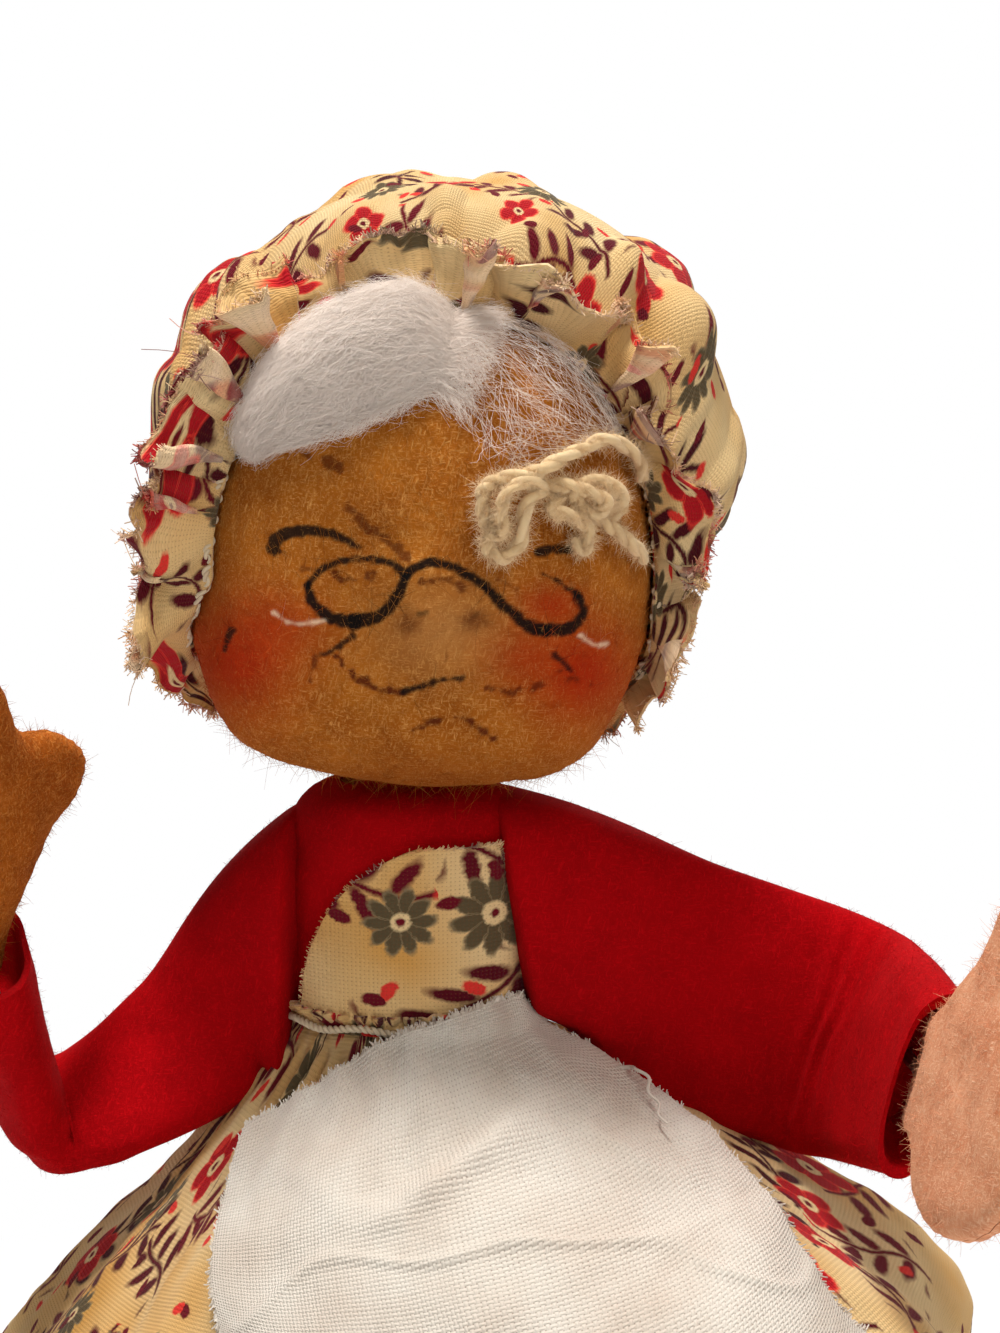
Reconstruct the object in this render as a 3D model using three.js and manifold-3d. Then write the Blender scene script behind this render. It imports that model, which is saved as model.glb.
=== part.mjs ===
// Posable felt granny doll: a bent wire armature in stuffed felt, dressed in a gathered print
// skirt, a muslin apron, a bib and a mob cap. Millimetres, +Z up, and the face looks along -Y.
// Left and right are the doll's own, so its left arm is on +X.
import * as THREE from "three";
import { mergeVertices } from "three/addons/utils/BufferGeometryUtils.js";
import Module from "manifold-3d";

const wasm = await Module();
wasm.setup();

const { degToRad, lerp, smoothstep } = THREE.MathUtils;
const vec = (x, y, z) => new THREE.Vector3(x, y, z);

// Arm pose: droop at the shoulder, twist of the sleeve, fold at the elbow, turn of the hand in
// its cuff and lift at the wrist.
function posed(...angles) {
  const [droop, twist, elbow, turn, wrist] = angles.map(degToRad);
  return { droop, twist, elbow, turn, wrist };
}

// Stock and clearances
const FELT = 1.2;
const COTTON = 0.9;
const MUSLIN = 0.8;
const WIRE_R = 0.65;
const THREAD_R = 0.45;
const YARN_R = 0.8;
const GAP = 0.3; // air between pieces that touch
const BEND_GAP = 0.4; // from each wire end to the bend that it meets
const ELBOW_WIRE_GAP = 0.85; // the same at the elbows, which fold further
const JOINT_GAP = 1.0; // from each felt limb end to the bend that it meets
const ELBOW_GAP = 0.7; // the same for the pinched sleeve ends

// Legs and shoes
const SOLE = 1.5;
const ANKLE_HEIGHT = 11.5;
const SHIN_LENGTH = 25.5;
const THIGH_LENGTH = 26;
const SHIN_R = 5.4;
const THIGH_R = 6;
const LEG_SPACING = 15; // between the two hip bends
const SHOE_LENGTH = 32;
const SHOE_WIDTH = 14;
const SHOE_HEIGHT = 8.6;
const HEEL = 9; // shoe behind the ankle

// Torso
const TORSO_HEIGHT = 52.7;
const TORSO_HALF_WIDTH = 12;
const TORSO_HALF_DEPTH = 9;
const HIP_CLEAR = 3; // from the hip bends up to the torso
const SHOULDER_DROP = 14.7; // from the torso's top down to the shoulder bends
const SHOULDER_OUT = 5; // shoulder bends beyond the torso's side
const NECK_HOLE_DROP = 1.5; // bodice neck below the torso's top

// Arms
const SLEEVE_HALF_HEIGHT = 9;
const SLEEVE_HALF_DEPTH = 3.6;
const UPPER_ARM = 31; // shoulder bend to elbow bend
const FOREARM = 24; // elbow bend to cuff
const CUFF_FLARE = 1.08; // cuff height against the armhole's
const ELBOW_FOLD = degToRad(128); // the furthest that the elbows fold
const WRIST_REACH = 1; // cuff to wrist bend
const HAND_LENGTH = 29;
const HAND_WIDTH = 20;
const THUMB = 6;
const HAND_FELT = 2.6;
const LEFT_POSE = posed(18, 0, 84, 0, 14);
const RIGHT_POSE = posed(47, 58, 124, 60, 12);

// Head
const HEAD_HALF_WIDTH = 22.5;
const HEAD_HALF_DEPTH = 19.5;
const HEAD_HALF_HEIGHT = 23;
const HEAD_SQUARENESS = 2.3;
const CHEEK_TAPER = 0.15; // how much wider the cheeks are than the brow
const NECK_LENGTH = 1.5; // neck bend to the chin's underside
const HEAD_ROLL = degToRad(4);
const NECK_HOLE_R = 3;
const NECK_R = 4;
const NECK_RISE = 0.5; // neck felt above the neck bend

// Mob cap, hair and yarn
const FACE_FORWARD = degToRad(24); // gathering line ahead of the ears
const CAP_SKEW = degToRad(9); // further ahead on the doll's right than on its left
const NAPE_FORWARD = degToRad(-42); // gathering line behind the neck
const GATHER_APART = degToRad(3.6); // cap edges from the gathering thread
const CAP_LIFT = 0.92;
const CAP_PUFF = 14;
const CAP_GATHERS = 20;
const GATHER_DEPTH = 1.2;
const RUFFLE_WIDTH = 8.5;
const RUFFLE_WAVES = 15;
const HAIR_THICK = 3.6;

// Skirt, apron and bib
const SKIRT_LENGTH = 82;
const HEM_HALF_WIDTH = 54;
const HEM_HALF_DEPTH = 50;
const FLARE_LENGTH = 42;
const BELL_HEIGHT = 50; // hem to where the skirt stops widening
const SKIRT_UNDER_ARM = degToRad(4); // skirt slope below the sleeves' slope
const PLEATS = 14;
const PLEAT_DEPTH = 3.4;
const APRON_LENGTH = 0.62; // share of the skirt's drop
const APRON_HALF_TURN = degToRad(44);
const APRON_SWING = degToRad(10); // apron's middle from the doll's front, towards its left
const BIB_HEIGHT = 19;
const BIB_HALF_TURN = degToRad(58);

// Places worked out from the sizes above
const KNEE_Z = ANKLE_HEIGHT + SHIN_LENGTH;
const HIP_Z = KNEE_Z + THIGH_LENGTH;
const HIP_X = LEG_SPACING / 2;
const TORSO_BOTTOM = HIP_Z + HIP_CLEAR;
const TORSO_TOP = TORSO_BOTTOM + TORSO_HEIGHT;
const SHOULDER_Z = TORSO_TOP - SHOULDER_DROP;
const SHOULDER_X = TORSO_HALF_WIDTH + SHOULDER_OUT;
const WAIST_Z = SHOULDER_Z - SLEEVE_HALF_HEIGHT - 3 * COTTON;
const THREAD_Z = WAIST_Z + 2 * GAP + MUSLIN + THREAD_R;
const NECK_Z = TORSO_TOP - NECK_HOLE_DROP + 2 * BEND_GAP;
const HEAD_CENTRE = vec(0, 0, NECK_LENGTH + HEAD_HALF_HEIGHT); // in the neck's frame

// Looks
const paint = (color, roughness, metalness = 0) =>
  new THREE.MeshStandardMaterial({ color, roughness, metalness });
const redFelt = paint(0xb3101f, 0.95);
const skinFelt = paint(0xd9924f, 0.95);
const blackFelt = paint(0x1c1a1a, 0.95);
const print = paint(0xe6cfa4, 0.85);
const muslin = paint(0xeee6da, 0.85);
const wool = paint(0xf2ece8, 0.95);
const creamYarn = paint(0xe8d3a6, 0.9);
const batting = paint(0xf4f1ea, 1);
const thread = paint(0xefe5cf, 0.8);
const wire = paint(0x8d8f92, 0.35, 1);

// Geometry helpers

function geometryOf(points, index) {
  const geometry = new THREE.BufferGeometry().setFromPoints(points);
  geometry.setIndex(index);
  return geometry;
}

// Joins rings of equal length into one closed skin. A wrapped skin runs back to its first ring;
// otherwise the ends are closed by a fan, or by a strip where each ring is a folded flat loop.
function skin(rings, close = "fan") {
  const n = rings[0].length;
  const points = rings.flat();
  const index = [];
  const spans = close === "wrap" ? rings.length : rings.length - 1;
  for (let j = 0; j < spans; j++) {
    const low = j * n;
    const high = ((j + 1) % rings.length) * n;
    for (let i = 0; i < n; i++) {
      const k = (i + 1) % n;
      index.push(low + i, low + k, high + k, low + i, high + k, high + i);
    }
  }
  const top = (rings.length - 1) * n;
  if (close === "fan") {
    const middle = (ring) => ring.reduce((sum, p) => sum.add(p), vec(0, 0, 0)).divideScalar(n);
    const base = points.push(middle(rings[0])) - 1;
    const apex = points.push(middle(rings[rings.length - 1])) - 1;
    for (let i = 0; i < n; i++) {
      const k = (i + 1) % n;
      index.push(base, k, i, apex, top + i, top + k);
    }
  }
  if (close === "strip") {
    for (let i = 0; i < n / 2 - 1; i++) {
      const [a, b, c, d] = [i, i + 1, n - 2 - i, n - 1 - i];
      index.push(a, c, b, a, d, c, top + a, top + b, top + c, top + a, top + c, top + d);
    }
  }
  return outward(geometryOf(points, index));
}

// A closed skin whose faces point in is turned inside out.
function outward(geometry) {
  const at = geometry.attributes.position;
  const index = geometry.index.array;
  const corner = [vec(0, 0, 0), vec(0, 0, 0), vec(0, 0, 0)];
  let volume = 0;
  for (let i = 0; i < index.length; i += 3) {
    corner.forEach((p, k) => p.fromBufferAttribute(at, index[i + k]));
    volume += corner[0].dot(corner[1].clone().cross(corner[2]));
  }
  if (volume < 0) geometry.setIndex(Array.from(index).reverse());
  return geometry;
}

function solidOf(geometry) {
  const bare = new THREE.BufferGeometry();
  bare.setAttribute("position", geometry.attributes.position);
  bare.setIndex(geometry.index);
  const merged = mergeVertices(bare, 1e-4);
  return new wasm.Manifold(
    new wasm.Mesh({
      numProp: 3,
      vertProperties: new Float32Array(merged.attributes.position.array),
      triVerts: new Uint32Array(merged.index.array),
    }),
  );
}

function geometryFrom(solid) {
  const mesh = solid.getMesh();
  const geometry = new THREE.BufferGeometry();
  geometry.setAttribute("position", new THREE.BufferAttribute(mesh.vertProperties, 3));
  geometry.setIndex(new THREE.BufferAttribute(mesh.triVerts, 1));
  geometry.computeVertexNormals();
  return geometry;
}

function cut(geometry, ...tools) {
  return geometryFrom(tools.reduce((left, tool) => left.subtract(solidOf(tool)), solidOf(geometry)));
}

function join(first, ...others) {
  return geometryFrom(others.reduce((sum, other) => sum.add(solidOf(other)), solidOf(first)));
}

// A round rod with domed ends between two points.
function rod(from, to, radius) {
  const along = to.clone().sub(from);
  const geometry = new THREE.CapsuleGeometry(radius, along.length() - 2 * radius, 2, 8);
  const turn = new THREE.Quaternion().setFromUnitVectors(vec(0, 1, 0), along.clone().normalize());
  geometry.applyQuaternion(turn);
  return geometry.translate(...from.clone().add(to).multiplyScalar(0.5).toArray());
}

// A straight hole for a wire, past both ends of what it goes through.
const wireHole = (from, to) => rod(from, to, WIRE_R + GAP);

function block(low, high) {
  const size = high.clone().sub(low);
  const centre = low.clone().add(high).multiplyScalar(0.5);
  return new THREE.BoxGeometry(...size.toArray()).translate(...centre.toArray());
}

// A rounded-square outline of the given half sizes, as unit steps to be placed by the caller.
function squareRound(steps, half, tall, squareness) {
  const power = 2 / squareness;
  const bulge = (t) => Math.sign(t) * Math.abs(t) ** power;
  return Array.from({ length: steps }, (_, i) => {
    const turn = (i / steps) * 2 * Math.PI;
    return [half * bulge(Math.cos(turn)), tall * bulge(Math.sin(turn))];
  });
}

const steps = (from, to, count) =>
  Array.from({ length: count + 1 }, (_, i) => lerp(from, to, i / count));

function piece(name, geometry, material) {
  const mesh = new THREE.Mesh(geometry, material);
  mesh.name = name;
  return mesh;
}

function frame(name, x, y, z) {
  const group = new THREE.Group();
  group.name = name;
  group.position.set(x, y, z);
  return group;
}

// Torso: barrel of felt in two panels, stuffed round the armature

function torsoSwell(z) {
  const from = (2 * (z - TORSO_BOTTOM)) / TORSO_HEIGHT - 1;
  return Math.sqrt(Math.max(0, 1 - Math.abs(from) ** 5));
}

function torsoPoint(turn, z, lift) {
  const wide = TORSO_HALF_WIDTH * torsoSwell(z) + lift;
  const deep = TORSO_HALF_DEPTH * torsoSwell(z) + lift;
  return vec(wide * Math.cos(turn), deep * Math.sin(turn), z);
}

const TORSO_STEPS = 24;
const torsoTurns = steps(0, 2 * Math.PI, TORSO_STEPS).slice(0, -1);
const torsoRing = (z, lift) => torsoTurns.map((turn) => torsoPoint(turn, z, lift));
const BODICE_LOW = TORSO_BOTTOM + 0.1 * TORSO_HEIGHT;
const BODICE_TOP = TORSO_TOP - NECK_HOLE_DROP;
const bodiceHeights = steps(0, 1, 8).map((t) => {
  const eased = 0.5 - 0.5 * Math.cos(Math.PI * t);
  return lerp(BODICE_LOW, BODICE_TOP, eased);
});

const ARMHOLE_R = SLEEVE_HALF_HEIGHT + GAP + 0.1;

function armhole(side) {
  const hole = new THREE.CylinderGeometry(ARMHOLE_R, ARMHOLE_R, 4 * TORSO_HALF_DEPTH, 24);
  return hole.translate(side * SHOULDER_X, 0, SHOULDER_Z);
}

function armature(radius) {
  const neckEnd = NECK_Z - BEND_GAP;
  const barZ = TORSO_BOTTOM + 0.16 * TORSO_HEIGHT;
  const grow = radius - WIRE_R;
  const barEnd = SHOULDER_X - BEND_GAP + grow;
  const spine = rod(vec(0, 0, barZ), vec(0, 0, neckEnd + grow), radius);
  const shoulders = rod(vec(-barEnd, 0, SHOULDER_Z), vec(barEnd, 0, SHOULDER_Z), radius);
  const hips = rod(vec(-HIP_X - radius, 0, barZ), vec(HIP_X + radius, 0, barZ), radius);
  const stubs = [-1, 1].map((side) => {
    const low = vec(side * HIP_X, 0, HIP_Z + BEND_GAP - grow);
    return rod(low, vec(side * HIP_X, 0, barZ + radius), radius);
  });
  return join(spine, shoulders, hips, ...stubs);
}

function torsoStuffing() {
  const heights = [TORSO_BOTTOM + GAP, ...bodiceHeights.slice(0, -1)];
  const core = skin(heights.map((z) => torsoRing(z, -FELT - GAP * torsoSwell(z))));
  return cut(core, armature(WIRE_R + GAP), armhole(-1), armhole(1));
}

function bodicePanel(side) {
  const outer = bodiceHeights.map((z) => torsoRing(z, 0));
  const inner = [...bodiceHeights].reverse().map((z) => torsoRing(z, -FELT));
  const far = 2 * SHOULDER_X;
  const seam = GAP / 2;
  const other = block(
    vec(-far, side < 0 ? -seam : -far, BODICE_LOW - far),
    vec(far, side < 0 ? far : seam, BODICE_TOP + far),
  );
  return cut(skin([...outer, ...inner], "wrap"), armhole(-1), armhole(1), other);
}

function bib() {
  const low = THREAD_Z + THREAD_R + GAP;
  const rows = steps(0, 0.97, 6);
  const across = steps(-1, 1, 8);
  const side = (lift) =>
    rows.map((t) =>
      across.map((a) => {
        const half = BIB_HALF_TURN * Math.sqrt(1 - t ** 2.6);
        return torsoPoint(a * half - Math.PI / 2, low + t * BIB_HEIGHT, lift);
      }),
    );
  return folded(side(2 * GAP + COTTON), side(2 * GAP));
}

// A sheet of cloth from two grids of rows, its front and its back.
function folded(front, back) {
  return skin(front.map((row, j) => [...row, ...[...back[j]].reverse()]), "strip");
}

// Skirt: a gathered bell that starts under the sleeves and drops to a wide hem

function bezier(a, b, c, d, t) {
  const s = 1 - t;
  return s ** 3 * a + 3 * s * s * t * b + 3 * s * t * t * c + t ** 3 * d;
}

function skirtEnvelope(turn, drop) {
  const leftness = 0.5 + 0.5 * Math.cos(turn);
  const slope = lerp(RIGHT_POSE.droop, LEFT_POSE.droop, leftness) + SKIRT_UNDER_ARM;
  const hemZ = WAIST_Z - SKIRT_LENGTH;
  const reach = FLARE_LENGTH * Math.cos(slope);
  const fall = FLARE_LENGTH * Math.sin(slope);
  const room = GAP + COTTON;
  const wide = (start, hem) => bezier(start + room, start + room + reach, hem * 1.06, hem, drop);
  const x = wide(TORSO_HALF_WIDTH, HEM_HALF_WIDTH) * Math.cos(turn);
  const y = wide(TORSO_HALF_DEPTH, HEM_HALF_DEPTH) * Math.sin(turn);
  return vec(x, y, bezier(WAIST_Z, WAIST_Z - fall, hemZ + BELL_HEIGHT, hemZ, drop));
}

// A point on the skirt, lifted square to its unpleated shape.
function skirtPoint(turn, drop, lift, pleated = true) {
  const nudge = 1e-3;
  const at = skirtEnvelope(turn, drop);
  const along = skirtEnvelope(turn + nudge, drop).sub(at);
  const down = skirtEnvelope(turn, drop + nudge).sub(at);
  const normal = down.cross(along).normalize();
  const fold = 0.5 - 0.5 * Math.cos(PLEATS * turn);
  const pleat = pleated ? PLEAT_DEPTH * fold * drop ** 0.8 : 0;
  return at.addScaledVector(normal, lift - pleat);
}

const SKIRT_STEPS = PLEATS * 4;
const SKIRT_ROWS = 7;

function skirt() {
  const turns = steps(0, 2 * Math.PI, SKIRT_STEPS).slice(0, -1);
  const drops = steps(0, 1, SKIRT_ROWS);
  const side = (lift) => drops.map((drop) => turns.map((turn) => skirtPoint(turn, drop, lift)));
  return skin([...side(0), ...side(-COTTON).reverse()], "wrap");
}

function apron() {
  const rows = steps(1, 0, 8).map((t) => Math.max(t, 0.02));
  const across = steps(-1, 1, 12);
  const side = (lift) =>
    rows.map((t) =>
      across.map((a) => {
        const rounding = 1 - 0.3 * a * a * t;
        const middle = APRON_SWING * t - Math.PI / 2;
        const turn = middle + a * APRON_HALF_TURN * lerp(1.3, 1, t);
        return skirtPoint(turn, APRON_LENGTH * t * rounding, lift, false);
      }),
    );
  return folded(side(GAP + MUSLIN), side(GAP));
}

function waistThread() {
  const turns = steps(0, 2 * Math.PI, 28).slice(0, -1);
  const rings = turns.map((turn) => {
    const centre = torsoPoint(turn, THREAD_Z, GAP + THREAD_R);
    const out = vec(Math.cos(turn), Math.sin(turn), 0);
    return threadRing(centre, out, vec(0, 0, 1));
  });
  return skin(rings, "wrap");
}

function threadRing(centre, out, up) {
  return steps(0, 2 * Math.PI, 6)
    .slice(0, -1)
    .map((a) =>
      centre
        .clone()
        .addScaledVector(out, THREAD_R * Math.cos(a))
        .addScaledVector(up, THREAD_R * Math.sin(a)),
    );
}

// Limbs: felt over wire, in lengths that meet at the bends

// A flat stuffed sleeve along +X through [x, half depth, half height, twist] stations.
function sleeveSkin(stations) {
  return skin(
    stations.map(([x, depth, height, twist = 0]) =>
      squareRound(16, depth, height, 2.5).map(([y, z]) =>
        vec(x, y, z).applyAxisAngle(vec(1, 0, 0), -twist),
      ),
    ),
  );
}

// Half depth of a sleeve near its elbow, which is pinched so that the arm can fold.
function elbowDepth(fromBend) {
  const wedge = 0.95 * Math.tan((Math.PI - ELBOW_FOLD) / 2);
  return Math.min(SLEEVE_HALF_DEPTH, wedge * fromBend);
}

function upperSleeve(twist) {
  const r = SLEEVE_HALF_HEIGHT;
  const disc = [0.985, 0.85, 0.6, 0.3].map((t) => {
    const round = Math.sqrt(1 - t * t);
    return [-r * t, SLEEVE_HALF_DEPTH * lerp(0.55, 1, round), r * round];
  });
  const end = UPPER_ARM - ELBOW_GAP;
  const arm = [0, 0.2, 0.4, 0.6, 0.75, 0.88, 1].map((t) => {
    const x = end * t;
    const height = r * lerp(1, 1 + (CUFF_FLARE - 1) / 2, t);
    return [x, elbowDepth(UPPER_ARM - x), height, twist * smoothstep(t, 0.1, 1)];
  });
  const slot = WIRE_R + GAP;
  const shoulderSlot = block(vec(-2 * r, -slot, -2 * r), vec(slot, slot, 2 * r));
  return cut(
    sleeveSkin([...disc, ...arm]),
    shoulderSlot,
    wireHole(vec(-r, 0, 0), vec(2 * UPPER_ARM, 0, 0)),
  );
}

function lowerSleeve() {
  const arm = [0, 0.12, 0.26, 0.5, 0.8, 1].map((t) => {
    const x = lerp(ELBOW_GAP, FOREARM, t);
    const height = SLEEVE_HALF_HEIGHT * lerp(1 + (CUFF_FLARE - 1) / 2, CUFF_FLARE, t);
    return [x, elbowDepth(x), height];
  });
  return cut(sleeveSkin(arm), wireHole(vec(-FOREARM, 0, 0), vec(2 * FOREARM, 0, 0)));
}

// A stuffed length of limb along -Z between two bends, thinner at both ends.
function legFelt(length, radius) {
  const low = JOINT_GAP;
  const high = length - JOINT_GAP;
  const stations = [0, 0.05, 0.14, 0.3, 0.5, 0.7, 0.86, 0.95, 1];
  const rings = stations.map((t) => {
    const swell = (1 - Math.abs(2 * t - 1) ** 4) ** 0.5;
    const r = radius * lerp(0.32, 1, swell);
    return steps(0, 2 * Math.PI, 14)
      .slice(0, -1)
      .map((a) => vec(r * Math.cos(a), r * Math.sin(a), -lerp(low, high, t)));
  });
  return cut(skin(rings), wireHole(vec(0, 0, length), vec(0, 0, -2 * length)));
}

// Mitten outline, fingers along +X and thumb towards +Y, smoothed through its points. Its root
// is a wedge, so that the wrist can bend beside the cuff.
function mittenOutline() {
  const [l, w, t] = [HAND_LENGTH, HAND_WIDTH / 2, THUMB];
  const points = [
    [JOINT_GAP, 0.15 * w],
    [JOINT_GAP, -0.15 * w],
    [0.09 * l, -0.46 * w],
    [0.2 * l, -0.85 * w],
    [0.42 * l, -w],
    [0.72 * l, -0.9 * w],
    [0.93 * l, -0.5 * w],
    [l, 0.05 * w],
    [0.92 * l, 0.5 * w],
    [0.7 * l, 0.72 * w],
    [0.62 * l, 0.95 * w + 0.45 * t],
    [0.5 * l, 0.95 * w + 0.95 * t],
    [0.38 * l, 0.95 * w + 0.7 * t],
    [0.28 * l, 0.95 * w],
    [0.1 * l, 0.46 * w],
  ].map(([x, y]) => new THREE.Vector2(x, y));
  return new THREE.Shape(new THREE.SplineCurve([...points, points[0]]).getPoints(40).slice(0, -1));
}

function handHalf(side) {
  const bevel = 0.8;
  const outline = new THREE.ExtrudeGeometry(mittenOutline(), {
    depth: HAND_FELT - 2 * bevel,
    bevelThickness: bevel,
    bevelSize: bevel,
    bevelOffset: -bevel,
    bevelSegments: 2,
    curveSegments: 1,
  });
  outline.rotateX(Math.PI / 2);
  const shift = side < 0 ? -GAP / 2 - bevel : HAND_FELT + GAP / 2 - bevel;
  outline.translate(0, shift, 0);
  return cut(outline, wireHole(vec(-HAND_LENGTH, 0, 0), vec(0.7 * HAND_LENGTH, 0, 0)));
}

function soleOutline(inset) {
  const half = SHOE_WIDTH / 2 - inset;
  const outline = new THREE.Shape();
  const toe = SHOE_LENGTH - HEEL - SHOE_WIDTH / 2;
  const heel = HEEL - SHOE_WIDTH / 2;
  outline.absarc(0, heel, half, 0, Math.PI);
  outline.absellipse(0, -toe, half, half, Math.PI, 2 * Math.PI, false, 0);
  outline.closePath();
  return outline;
}

function shoeSole() {
  return new THREE.ExtrudeGeometry(soleOutline(0), {
    depth: SOLE,
    bevelEnabled: false,
    curveSegments: 10,
  });
}

// Shoe upper: stuffed felt that is tall at the heel and low over the toes.
function shoeUpper() {
  const low = SOLE + GAP;
  const half = SHOE_WIDTH / 2 - 0.6;
  const rings = [-1, -0.9, -0.7, -0.35, 0, 0.35, 0.7, 0.9, 1].map((t) => {
    const y = lerp(HEEL - SHOE_LENGTH, HEEL, (t + 1) / 2) * 0.97;
    const round = Math.sqrt(Math.max(0.05, 1 - Math.abs(t) ** 3));
    const tall = (SHOE_HEIGHT * round * lerp(0.72, 1, smoothstep(t, -0.4, 0.5))) / 2;
    return squareRound(14, half * round, tall, 2.6).map(([x, z]) => vec(x, y, low + tall + z));
  });
  return cut(skin(rings), wireHole(vec(0, 0, low + 0.3 * SHOE_HEIGHT), vec(0, 0, 2 * ANKLE_HEIGHT)));
}

// Head: a felt ball described by its radius along each direction from the centre

function headRadius(u) {
  const half = HEAD_HALF_WIDTH * (1 - CHEEK_TAPER * u.z);
  const part = (t) => Math.abs(t) ** HEAD_SQUARENESS;
  const sum = part(u.x / half) + part(u.y / HEAD_HALF_DEPTH) + part(u.z / HEAD_HALF_HEIGHT);
  return sum ** (-1 / HEAD_SQUARENESS);
}

// A direction by its turn round the face and its angle ahead of the ears.
function headDirection(turn, forward) {
  const c = Math.cos(forward);
  return vec(c * Math.cos(turn), -Math.sin(forward), c * Math.sin(turn));
}

const overHead = (u, lift) => u.clone().multiplyScalar(headRadius(u) + lift).add(HEAD_CENTRE);
const onHead = (turn, forward, lift) => overHead(headDirection(turn, forward), lift);

const headTurns = steps(0, 2 * Math.PI, 24).slice(0, -1);

function headHalf(side) {
  const seam = degToRad(0.5);
  const angles = [82, 66, 50, 34, 18, 8, 0].map((a) => -side * (degToRad(a) + seam));
  const shell = (lift) => angles.map((a) => headTurns.map((turn) => onHead(turn, a, lift)));
  const neckHole = new THREE.CylinderGeometry(NECK_HOLE_R, NECK_HOLE_R, HEAD_HALF_HEIGHT, 12);
  neckHole.rotateX(Math.PI / 2).translate(0, 0, HEAD_CENTRE.z - HEAD_HALF_HEIGHT);
  return cut(skin([...shell(-FELT), ...shell(0).reverse()]), neckHole);
}

function headStuffing() {
  const angles = [-75, -50, -25, 0, 25, 50, 75].map(degToRad);
  const core = skin(
    angles.map((a) => headTurns.map((turn) => onHead(turn, a, -FELT - 2 * GAP))),
  );
  return cut(core, wireHole(vec(0, 0, -HEAD_HALF_HEIGHT), HEAD_CENTRE.clone().setZ(neckTop() + GAP)));
}

// Felt neck between the bodice's neck hole and the head.
function neckFelt() {
  const rings = steps(NECK_RISE, NECK_LENGTH - GAP, 1).map((z) =>
    steps(0, 2 * Math.PI, 16)
      .slice(0, -1)
      .map((turn) => vec(NECK_R * Math.cos(turn), NECK_R * Math.sin(turn), z)),
  );
  return cut(skin(rings), wireHole(vec(0, 0, -2 * NECK_LENGTH), vec(0, 0, 3 * NECK_LENGTH)));
}

const neckTop = () => HEAD_CENTRE.z + 0.3 * HEAD_HALF_HEIGHT;

// Angle ahead of the ears of the cap's gathering line, which drops behind the neck.
function gatherForward(turn) {
  const under = smoothstep(-Math.sin(turn), 0.2, 1);
  return lerp(FACE_FORWARD - CAP_SKEW * Math.cos(turn), NAPE_FORWARD, under);
}

const CROWN_POLE = vec(0.12, 0.55, 0.83).normalize();

function capCrown() {
  const turns = steps(0, 2 * Math.PI, 2 * CAP_GATHERS).slice(0, -1);
  const rises = [0, 0.06, 0.15, 0.3, 0.5, 0.7, 0.88];
  const point = (turn, rise, thickness) => {
    const rim = headDirection(turn, gatherForward(turn) - GATHER_APART);
    const u = rim.lerp(CROWN_POLE, rise).normalize();
    const puff = CAP_PUFF * (0.55 + 0.3 * u.x + 0.45 * Math.max(u.z, 0)) * (1 - (1 - rise) ** 3);
    const fold = GATHER_DEPTH * (0.5 + 0.5 * Math.cos(CAP_GATHERS * turn)) * (1 - rise) ** 2;
    const kept = smoothstep(rise, 0, 0.06);
    return overHead(u, CAP_LIFT + puff + fold * kept + thickness);
  };
  const side = (thickness) => rises.map((rise) => turns.map((turn) => point(turn, rise, thickness)));
  return skin([...side(0).reverse(), ...side(COTTON)]);
}

function capRuffle() {
  const turns = steps(0, 2 * Math.PI, 4 * RUFFLE_WAVES).slice(0, -1);
  const rings = turns.map((turn) => {
    const ahead = gatherForward(turn) + GATHER_APART;
    const nudge = 1e-3;
    const base = onHead(turn, ahead, CAP_LIFT);
    const out = headDirection(turn, ahead);
    const front = onHead(turn, ahead + nudge, CAP_LIFT).sub(base).normalize();
    const low = smoothstep(-Math.sin(turn), 0.35, 1);
    const lean = degToRad(10) + degToRad(20) * Math.sin(RUFFLE_WAVES * turn) * (1 - low);
    const run = out.clone().multiplyScalar(Math.cos(lean)).addScaledVector(front, Math.sin(lean));
    const edge = base.clone().addScaledVector(run, RUFFLE_WIDTH * lerp(1, 0.35, low));
    const thick = front.clone().multiplyScalar(Math.cos(lean)).addScaledVector(out, -Math.sin(lean));
    thick.multiplyScalar(COTTON);
    return [base, edge, edge.clone().add(thick), base.clone().addScaledVector(front, COTTON)];
  });
  return skin(rings, "wrap");
}

function capThread() {
  const turns = steps(0, 2 * Math.PI, 48).slice(0, -1);
  const lift = 2 * GAP + THREAD_R;
  const rings = turns.map((turn) => {
    const ahead = gatherForward(turn);
    const out = headDirection(turn, ahead);
    const centre = onHead(turn, ahead, lift);
    const front = onHead(turn, ahead + 1e-3, lift).sub(centre).normalize();
    return threadRing(centre, out, front);
  });
  return skin(rings, "wrap");
}

function hairTuft() {
  const across = steps(-1, 1, 10);
  const rows = steps(0, 1, 5);
  const point = (a, t, lift) => {
    const turn = Math.PI / 2 - a * degToRad(lerp(62, 40, t));
    const back = gatherForward(turn) + 3 * GATHER_APART;
    return onHead(turn, back + t * degToRad(22 - 10 * a * a), lift);
  };
  const full = (a, t) => {
    const rise = lerp(0.3, 1, smoothstep(t, 0, 0.45));
    return GAP + rise * HAIR_THICK * Math.sqrt((1 - a ** 4) * (1 - 0.85 * t ** 3));
  };
  const outer = rows.map((t) => across.map((a) => point(a, t, GAP + full(a, t))));
  const inner = rows.map((t) => across.map((a) => point(a, t, GAP)));
  return folded(outer, inner);
}

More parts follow.
